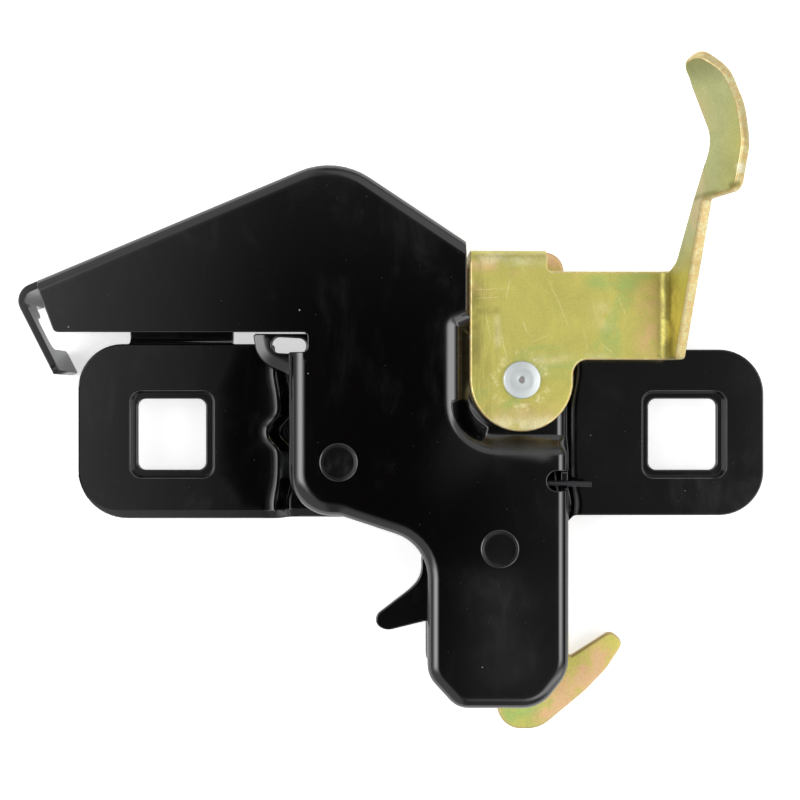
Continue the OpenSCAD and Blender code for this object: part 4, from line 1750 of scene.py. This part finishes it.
    def build(self) -> Material:
        """Makes the material.

        Returns:
            The material.
        """
        made, tree = material(self.name)
        at = tree.places()
        cut = tree.node("ShaderNodeAttribute", {"attribute_name": "cut"}, {}, "Fac")
        behind = tree.part(at, "Y").over(0, 6 * MM)
        across = tree.part(at, "X")
        mottle = tree.noise(self.mottle)
        streak = tree.noise(self.streak) * (1 - across.over(*(x * MM for x in self.streaked)))
        scale, depth = self.waver
        shake = tree.node("ShaderNodeTexNoise", {}, {"Vector": at, "Scale": scale, "Detail": 3.0}, "Color")
        wavy = tree.vector("MULTIPLY_ADD", shake, (depth,) * 3, at)
        lines = tree.scratch(wavy, *self.scratches[0])
        for given in self.scratches[1:]:
            lines = lines.math("MAXIMUM", tree.scratch(wavy, *given))
        ring = tree.radius(wavy, Layout().lever_pivot).band(*(r * MM for r in self.rubbed))
        ring = ring * (1 - behind) * tree.noise(self.worn)
        colour = tree.mix(tree.noise(self.bloom), self.yellow, self.green)
        colour = tree.patched(at, colour, self.dull, self.dull_at)
        blur = tree.noise(self.blur)
        for tint, patches in (
            (self.green, self.green_at), (self.pink, self.pink_at),
            (self.dark, self.dark_and_shade_at), (self.pale, self.pale_and_highlight_at),
        ):
            colour = tree.patched(at, colour, tint, patches, blur)
        colour = tree.mix(tree.noise(self.drift) * (0.4 + behind * 0.4), colour, self.pink)
        colour = tree.mix(streak * 0.4, colour, self.dark)
        wear = (tree.noise(self.scuff) * 0.35 + lines * 0.55 + ring * 0.7).math("MINIMUM", 1.0)
        colour = tree.mix(wear, colour, self.pale)
        edge = tree.mix(tree.noise(self.shear), self.sheared, self.pale)
        edge = tree.mix(behind * 0.8, edge, self.rear_edge)
        colour = tree.mix(cut * 0.8, colour, edge)
        # A darker line along the corners where the faces of the tab and pad meet their sheared edges.
        edge_line = cut.band(0.0, 0.35, 0.55, 0.95) * across.over(*(x * MM for x in self.edge_line_from))
        colour = tree.mix(edge_line * 0.6, colour, self.rear_edge)
        # Painted highlights: glints on the pad's sheared edge.
        colour = tree.patched(at, colour, self.bright, self.glints)
        # Darker spots on the pad's sheared edges.
        colour = tree.patched(at, colour, self.dark, self.dark_edge_spots)
        colour = tree.mix(mottle.over(0.44, 0.66) * 0.34, colour, self.dark)
        # Random tone, plus painted light: the rear leg, close to the white table, is made brighter.
        level = 0.72 + tree.noise(self.tone) * 0.5 + behind * 0.3
        colour = tree.node("ShaderNodeVectorMath", {"operation": "SCALE"}, {0: colour, "Scale": level})
        surface(tree, {
            "Base Color": colour,
            "Metallic": self.metallic,
            "Roughness": 0.38 + mottle * 0.12 + wear * 0.1,
            "Normal": tree.bump(tree.noise(self.grain) * 0.4 + mottle * 0.6, self.pits),
        })
        return made


@dataclass(frozen=True)
class BareZinc:
    """Pale grey zinc with a fine satin grain.

    Attributes:
        name: the material's name.
        colour: its colour.
        roughness: its roughness.
        spot: x, z and radius of a dull place, or None.
        tarnish: colour of that place.
        grain: layer of the grain.
        cloud: layer of the darker clouds.
        shade: how dark these are, as a share of the colour.
        pits: strength of the grain, and its depth in metres.
        metallic: how metallic it is.
    """

    name: str
    colour: Colour = (0.74, 0.79, 0.79, 1)
    roughness: float = 0.42
    spot: Corner | None = None
    tarnish: Colour = (0.24, 0.20, 0.18, 1)
    grain: Layer = Layer(700, 4, 0.65)
    cloud: Layer = Layer(120, 3, span=(0.4, 0.75))
    shade: float = 0.75
    pits: Pair = (0.08, 0.0003)
    metallic: float = 0.75

    def build(self) -> Material:
        """Makes the material.

        Returns:
            The material.
        """
        made, tree = material(self.name)
        grain = tree.noise(self.grain)
        dark = tuple(c * self.shade for c in self.colour[:3]) + (1,)
        colour = tree.mix(tree.noise(self.cloud) * 0.6, self.colour, dark)
        if self.spot:
            out = tree.radius(tree.places(), self.spot[:2])
            size = self.spot[2] * MM
            colour = tree.mix((1 - out.over(size * 0.5, size)) * 0.8, colour, self.tarnish)
            ring = out.band(size * 1.6, size * 2.2, size * 2.2, size * 3)
            colour = tree.mix(ring * 0.2, colour, dark)
        surface(tree, {
            "Base Color": colour,
            "Metallic": self.metallic,
            "Roughness": self.roughness + (grain - 0.5) * 0.2,
            "Normal": tree.bump(grain, self.pits),
        })
        return made


# Repeated and swept pieces


def group_tree(name: str, inputs: Sequence[tuple[str, str]]) -> tuple[Tree, bpy.types.Node]:
    """A Geometry Nodes tree with named inputs.

    Args:
        name: the tree's name.
        inputs: name and socket type of each input after the geometry.

    Returns:
        The tree and its input node.
    """
    group = bpy.data.node_groups.new(name, "GeometryNodeTree")
    group.interface.new_socket("Geometry", in_out="INPUT", socket_type="NodeSocketGeometry")
    for label, kind in inputs:
        group.interface.new_socket(label, in_out="INPUT", socket_type=kind)
    group.interface.new_socket("Geometry", in_out="OUTPUT", socket_type="NodeSocketGeometry")
    tree = Tree(group)
    return tree, group.nodes.new("NodeGroupInput")


def close_tree(tree: Tree, shape: Value, finish: Value) -> bpy.types.NodeTree:
    """Ends a Geometry Nodes tree: real geometry, smooth shading, one finish.

    Args:
        tree: the tree.
        shape: the geometry.
        finish: its material.

    Returns:
        The finished node group.
    """
    real = tree.node("GeometryNodeRealizeInstances", {}, {"Geometry": shape})
    smooth = tree.node("GeometryNodeSetShadeSmooth", {}, {"Geometry": real})
    done = tree.node("GeometryNodeSetMaterial", {}, {"Geometry": smooth, "Material": finish})
    tree.node("NodeGroupOutput", {}, {"Geometry": done})
    return tree.tree


def wire_tree() -> bpy.types.NodeTree:
    """Tree that sweeps a round wire along the edges of a mesh.

    Returns:
        The node group.
    """
    tree, start = group_tree("wire", (("Wire Radius", "NodeSocketFloat"), ("Sides", "NodeSocketInt"),
                                      ("Finish", "NodeSocketMaterial")))
    given = {out.name: Value(tree, out) for out in start.outputs}
    path = tree.node("GeometryNodeMeshToCurve", {}, {"Mesh": given["Geometry"]})
    ring = tree.node("GeometryNodeCurvePrimitiveCircle", {}, {"Resolution": given["Sides"],
                                                              "Radius": given["Wire Radius"]})
    sweep = {"Curve": path, "Profile Curve": ring, "Fill Caps": True}
    swept = tree.node("GeometryNodeCurveToMesh", {}, sweep)
    return close_tree(tree, swept, given["Finish"])


def copies_tree() -> bpy.types.NodeTree:
    """Tree that sets a copy of an object on each point of a mesh.

    Returns:
        The node group.
    """
    tree, start = group_tree("copies", (("Piece", "NodeSocketObject"), ("Finish", "NodeSocketMaterial")))
    given = {out.name: Value(tree, out) for out in start.outputs}
    piece = tree.node("GeometryNodeObjectInfo", {}, {"Object": given["Piece"]}, "Geometry")
    placed = tree.node("GeometryNodeInstanceOnPoints", {}, {"Points": given["Geometry"], "Instance": piece})
    return close_tree(tree, placed, given["Finish"])


def grown(name: str, points: Array, edges: Sequence[tuple[int, int]], tree: bpy.types.NodeTree,
          inputs: dict[str, object]) -> Object:
    """A piece that a Geometry Nodes tree makes from points and edges.

    Args:
        name: the piece's name.
        points: points in millimetres.
        edges: edges between them.
        tree: the tree.
        inputs: values of the tree's named inputs.

    Returns:
        The piece as a plain mesh, with no modifier left.
    """
    seed = bpy.data.meshes.new(name)
    seed.from_pydata((points * MM).tolist(), list(edges), [])
    piece = bpy.data.objects.new(name, seed)
    bpy.context.scene.collection.objects.link(piece)
    grower = piece.modifiers.new("grow", "NODES")
    grower.node_group = tree
    for item in tree.interface.items_tree:
        if item.in_out == "INPUT" and item.name in inputs:
            grower[item.identifier] = inputs[item.name]
    bpy.context.view_layer.update()
    mesh = bpy.data.meshes.new_from_object(piece.evaluated_get(bpy.context.evaluated_depsgraph_get()))
    piece.modifiers.clear()
    piece.data = mesh
    return piece


def bent(points: Array, radius: float, steps: int = 6) -> Array:
    """A wire's route in space with its corners eased.

    Args:
        points: the corners of the route.
        radius: length of each corner that is eased.
        steps: points added at each corner.

    Returns:
        The eased route.
    """
    parts = [points[:1]]
    for a, b, c in zip(points[:-2], points[1:-1], points[2:]):
        start = b + (a - b) * min(0.45, radius / float(np.linalg.norm(a - b)))
        end = b + (c - b) * min(0.45, radius / float(np.linalg.norm(c - b)))
        t = np.linspace(0, 1, steps)[:, None]
        parts.append(start * (1 - t) ** 2 + b * (2 * t * (1 - t)) + end * t**2)
    return np.vstack((*parts, points[-1:]))


@dataclass
class Rivets:
    """The three rivets.

    Attributes:
        layout: shared depths and pivots.
        head: radius of the front heads.
        shank: radius of the shanks.
        flat: height of the two dished heads.
        dish: radius and depth of their dish.
        tall: height of the lever pivot's head.
        dimple: radius and depth of its dimple.
        rear: height of the rear heads.
        sharp: radius of the corners where heads and shanks meet the sheet.
    """

    layout: Layout
    head: float = 6.2
    shank: float = 4.0
    flat: float = 0.9
    dish: Pair = (4.9, 0.45)
    tall: float = 1.9
    dimple: Pair = (1.3, 0.7)
    rear: float = 2.0
    sharp: float = 0.05

    def dished(self) -> Solid:
        """One of the two case rivets, about the Y axis.

        Returns:
            The closed solid.
        """
        lay = self.layout
        front = lay.cover_front - self.flat
        back = lay.tray_back + self.rear
        hollow, deep = self.dish
        sharp = self.sharp
        return lathe([
            (0, front + deep * 0.3, 0), (hollow, front + deep * 0.3, 4), (self.head - 0.4, front, 0.3),
            (self.head, front + 0.15, 0.3), (self.head, lay.cover_front, sharp),
            (self.shank, lay.cover_front, sharp), (self.shank, lay.tray_back, sharp),
            (self.head - 0.4, lay.tray_back, sharp), (self.head - 0.4, back, 0.8), (0, back, 0),
        ], (0, 0))

    def pivot(self) -> Solid:
        """The lever pivot rivet.

        Returns:
            The closed solid.
        """
        lay = self.layout
        front = lay.leg_front - self.tall
        back = lay.leg_rear + self.rear
        hollow, deep = self.dimple
        sharp = self.sharp
        return lathe([
            (0, front + deep, 0), (hollow * 0.5, front + deep, 0.3), (hollow, front + 0.1, 0.3),
            (self.head * 0.6, front, 4), (self.head - 0.25, front + 0.3, 0.5),
            (self.head, lay.leg_front, 2 * sharp), (self.shank, lay.leg_front, sharp),
            (self.shank, lay.leg_rear, sharp), (self.head, lay.leg_rear, sharp),
            (self.head, back, 0.8), (0, back, 0),
        ], lay.lever_pivot)

    def dress(self, paint: Material, zinc: Material) -> list[Object]:
        """Makes the rivets.

        Args:
            paint: finish of the two case rivets.
            zinc: finish of the lever pivot.

        Returns:
            The two case rivets as one piece, and the lever pivot.
        """
        master = self.dished().object("case_rivet_master", paint)
        places = np.array([(x, 0.0, z) for x, z in (self.layout.hook_pivot, self.layout.post)])
        pair = grown("case_rivets", places, (), copies_tree(), {"Piece": master, "Finish": paint})
        bpy.data.objects.remove(master)
        return [pair, self.pivot().object("lever_pivot", zinc)]


@dataclass
class Springs:
    """The two wire springs.

    Attributes:
        layout: shared depths and pivots.
        wire: wire radius.
        sides: faces round the wire.
        hook_coil: coil radius of the hook spring, with the Y of its first and last turn.
        hook_end: x and z of its end in the notch.
        hook_rest: x of its other leg, beside the hook, and the Y that this leg ends at.
        lever_coil: coil radius of the safety spring, with the Y of its first and last turn.
        lever_end: x of its end against the rim.
        lever_rest: height of its other leg, behind the fold, and the Y that this leg ends at.
    """

    layout: Layout
    wire: float = 0.9
    sides: int = 14
    hook_coil: Corner = (6.5, -15.9, -12.5)
    hook_end: Pair = (52.8, -15.8)
    hook_rest: Pair = (9.4, -7.6)
    lever_coil: Corner = (6.7, -12.05, -6.95)
    lever_end: float = 42.2
    lever_rest: Pair = (42.0, 8.9)

    @staticmethod
    def coil(centre: Pair, size: Corner, start: float, turn: float) -> Array:
        """Points of a coil.

        Args:
            centre: x and z of its axis.
            size: its radius, and the Y of its two ends.
            start: angle of its first end, in degrees.
            turn: angle it turns through, in degrees.

        Returns:
            One row per point.
        """
        radius, first, last = size
        t = np.linspace(0, 1, int(abs(turn) / 9) + 1)
        a = np.radians(start + turn * t)
        return np.column_stack((centre[0] + radius * np.cos(a), first + (last - first) * t,
                                centre[1] + radius * np.sin(a)))

    def hook_route(self) -> Array:
        """Route of the hook spring's wire.

        Returns:
            The points along the wire.
        """
        x, z = self.layout.post
        r, first, last = self.hook_coil
        end_x, end_z = self.hook_end
        rest_x, rest_y = self.hook_rest
        lead = bent(np.array(((end_x, first, end_z), (x + r, first, end_z + 0.6), (x + r, first, z))), 2.0)
        tail = bent(np.array(((x, last, z - r), (rest_x, last, z - r), (rest_x, rest_y, z - r))), 1.5)
        return np.vstack((lead[:-1], self.coil((x, z), self.hook_coil, 0, -450), tail[1:]))

    def lever_route(self) -> Array:
        """Route of the safety spring's wire.

        Returns:
            The points along the wire.
        """
        x, z = self.layout.lever_pivot
        r, first, last = self.lever_coil
        high, rest_y = self.lever_rest
        tail = bent(np.array(((x + r, last, z), (x + r, last, high), (x + r, rest_y, high))), 1.5)
        coil = self.coil((x, z), self.lever_coil, 90, 990)
        return np.vstack((np.array(((self.lever_end, first, z + r),)), coil, tail[1:]))

    def dress(self, finish: Material) -> list[Object]:
        """Makes both springs.

        Args:
            finish: their finish.

        Returns:
            The hook spring and the safety spring.
        """
        tree = wire_tree()
        given = {"Wire Radius": self.wire * MM, "Sides": self.sides, "Finish": finish}
        made = []
        routes = {"hook_spring_wire": self.hook_route(), "safety_spring_wire": self.lever_route()}
        for name, route in routes.items():
            edges = [(k, k + 1) for k in range(len(route) - 1)]
            made.append(grown(name, route, edges, tree, given))
        return made


# Stage


@dataclass
class Studio:
    """White table, soft light all round and the camera.

    Attributes:
        table_y: Y of the white table that the latch lies on.
        table_half: half the table's size.
        camera_at: place of the camera.
        lens: focal length.
        left_box: strength of the soft light on the left.
        right_box: strength of the soft light on the right.
        low_strip: strength of the soft light below on the right.
        left_span: where the left light rises and falls, across the view.
        right_span: the same of the right light.
        strip_span: the same of the light below, down the view.
        table_tint: colour of the table.
        mirrored: share of the table's glow in reflections.
        glow: strength of that glow.
        rear_light: strength of the light from behind the latch.
        key_at: place of the lamp.
        key_size: its width.
        key_power: its power in watts.
    """

    table_y: float = 12.6
    table_half: float = 900.0
    camera_at: Corner = (-8.97, -499.5, 11.35)
    lens: float = 67.5
    left_box: float = 4.0
    right_box: float = 3.6
    low_strip: float = 2.0
    left_span: tuple[float, ...] = (0.19, 0.6, 0.66, 0.99)
    right_span: tuple[float, ...] = (0.21, 0.55, 0.6, 0.95)
    strip_span: tuple[float, ...] = (0.25, 0.55, 0.55, 0.8)
    table_tint: Colour = (0.86, 0.86, 0.87, 1)
    mirrored: float = 0.42
    glow: float = 0.58
    rear_light: float = 0.4
    key_at: Corner = (260.0, -520.0, 480.0)
    key_size: float = 700.0
    key_power: float = 0.6

    def table(self) -> Object:
        """The white table, seen from its front only.

        Returns:
            The table.
        """
        made, tree = material("table")
        seen, glossy = (
            tree.node("ShaderNodeLightPath", out=f"Is {kind} Ray") for kind in ("Camera", "Glossy")
        )
        seen = seen + self.mirrored * glossy
        white = tree.node("ShaderNodeBsdfDiffuse", {}, {"Color": self.table_tint})
        glow = tree.node("ShaderNodeEmission", {}, {"Color": WHITE, "Strength": self.glow})
        both = tree.node("ShaderNodeAddShader", {}, {0: white, 1: glow})
        lit = tree.node("ShaderNodeMixShader", {}, {0: seen, 1: white, 2: both})
        rear = tree.node("ShaderNodeNewGeometry", out="Backfacing")
        clear = tree.node("ShaderNodeBsdfTransparent")
        shown = tree.node("ShaderNodeMixShader", {}, {0: rear, 1: lit, 2: clear})
        tree.node("ShaderNodeOutputMaterial", {}, {"Surface": shown})
        corners = np.array([(x * self.table_half, self.table_y, z * self.table_half) for x, z in AROUND])
        return Solid(corners, np.tile(FRONT, (4, 1)), [(0, 1, 2, 3)]).object("table", made)

    def world(self) -> None:
        """Two soft boxes left and right of the camera in a dim room that is dark behind the camera."""
        made = bpy.data.worlds.new("studio")
        made.use_nodes = True
        tree = Tree(made.node_tree)
        way = tree.node("ShaderNodeTexCoord", out="Generated")
        front = tree.vector("DOT_PRODUCT", way, FRONT, out="Value").over(0.0, 0.1)
        across = tree.part(way, "X")
        up = tree.part(way, "Z")
        left = -1 * across
        down = -1 * up
        tall = up.math("ABSOLUTE")
        box_left = left.band(*self.left_span) * (1 - tall.over(0.14, 0.38))
        box_right = across.band(*self.right_span) * (1 - tall.over(0.14, 0.34))
        strip = down.band(*self.strip_span) * across.over(-0.05, 0.35)
        room = 0.004 + left.over(0.06, 0.24) * 0.34 + across.over(0.03, 0.13) * 0.1
        room = room + up.over(0.04, 0.34) * 0.28 + down.over(0.07, 0.42) * 0.22
        boxes = box_left * self.left_box + box_right * self.right_box + strip * self.low_strip
        bright = (room + boxes) * front + (1 - front) * self.rear_light
        seen = tree.node("ShaderNodeLightPath", out="Is Camera Ray")
        light = tree.node("ShaderNodeBackground", {}, {"Color": bright, "Strength": 1.0})
        white = tree.node("ShaderNodeBackground", {}, {"Color": WHITE, "Strength": 1.0})
        shown = tree.node("ShaderNodeMixShader", {}, {0: seen, 1: light, 2: white})
        tree.node("ShaderNodeOutputWorld", {}, {"Surface": shown})
        bpy.context.scene.world = made

    def lamp(self, name: str, at: Corner, size: float, power: float) -> None:
        """A square soft lamp aimed at the latch.

        Args:
            name: its name.
            at: its place.
            size: its width.
            power: its power in watts.
        """
        light = bpy.data.lights.new(name, "AREA")
        light.size = size * MM
        light.energy = power
        holder = bpy.data.objects.new(name, light)
        holder.location = Vector(at) * MM
        holder.rotation_euler = (-Vector(at)).to_track_quat("-Z", "Y").to_euler()
        bpy.context.scene.collection.objects.link(holder)

    def camera(self) -> None:
        """The camera, level and square to the latch."""
        view = bpy.data.cameras.new("camera")
        view.lens = self.lens
        view.sensor_width = 36
        view.clip_start = 0.01
        holder = bpy.data.objects.new("camera", view)
        holder.location = Vector(self.camera_at) * MM
        holder.rotation_euler = (math.radians(90), 0, 0)
        bpy.context.scene.collection.objects.link(holder)
        bpy.context.scene.camera = holder

    def build(self) -> None:
        """Sets up the whole stage."""
        self.world()
        self.table()
        self.lamp("key_lamp", self.key_at, self.key_size, self.key_power)
        self.camera()
        bpy.context.scene.view_settings.view_transform = "Standard"


# The whole latch


def place(piece: Object, body: Body, slot: Slot, *nodes: str) -> None:
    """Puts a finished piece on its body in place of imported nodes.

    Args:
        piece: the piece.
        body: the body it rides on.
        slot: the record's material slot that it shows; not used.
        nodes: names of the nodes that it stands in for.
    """
    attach(piece, body.value)
    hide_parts(*nodes)
    LOG.info("%s stands in for %s", piece.name, ", ".join(nodes))


def main() -> None:
    """Builds the latch and its stage."""
    logging.basicConfig(level=logging.INFO, format="%(name)s: %(message)s")
    layout = Layout()
    paint = BlackPaint("black_paint").build()
    worn = BlackPaint("black_paint_worn", haze=0.03, gloss=(0.16, 0.4)).build()
    yellow = YellowZinc("yellow_zinc").build()
    zinc = BareZinc("zinc").build()
    steel = BareZinc("spring_steel", (0.05, 0.05, 0.055, 1), 0.35).build()

    cover = Cover(layout).build().object("cover_pressing", paint)
    place(cover, Body.CASE, Slot.PAINT, "cover")
    base = BasePlate(layout).build().object("base_pressing", paint)
    place(base, Body.CASE, Slot.PAINT, "base_plate")
    hook = HookLever(layout).build().object("hook_plate", paint)
    place(hook, Body.HOOK, Slot.PAINT, "hook_lever")
    lever = SafetyLever(layout).build().object("safety_plate", yellow)
    place(lever, Body.LEVER, Slot.YELLOW, "safety_lever")
    peened = BareZinc("zinc_peened", spot=(*layout.lever_pivot, 1.3)).build()
    pair, pivot = Rivets(layout).dress(worn, peened)
    place(pair, Body.CASE, Slot.PAINT, "hook_pivot_rivet", "spacer_rivet")
    place(pivot, Body.CASE, Slot.ZINC, "lever_pivot_rivet")
    for spring, node in zip(Springs(layout).dress(steel), ("hook_spring", "safety_spring")):
        place(spring, Body.CASE, Slot.SPRING, node)
    for name in INSIDE:
        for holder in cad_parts[name].material_slots:
            holder.material = zinc
        LOG.info("%s is finished in zinc", name)
    Studio().build()


if __name__ == "__main__":
    main()
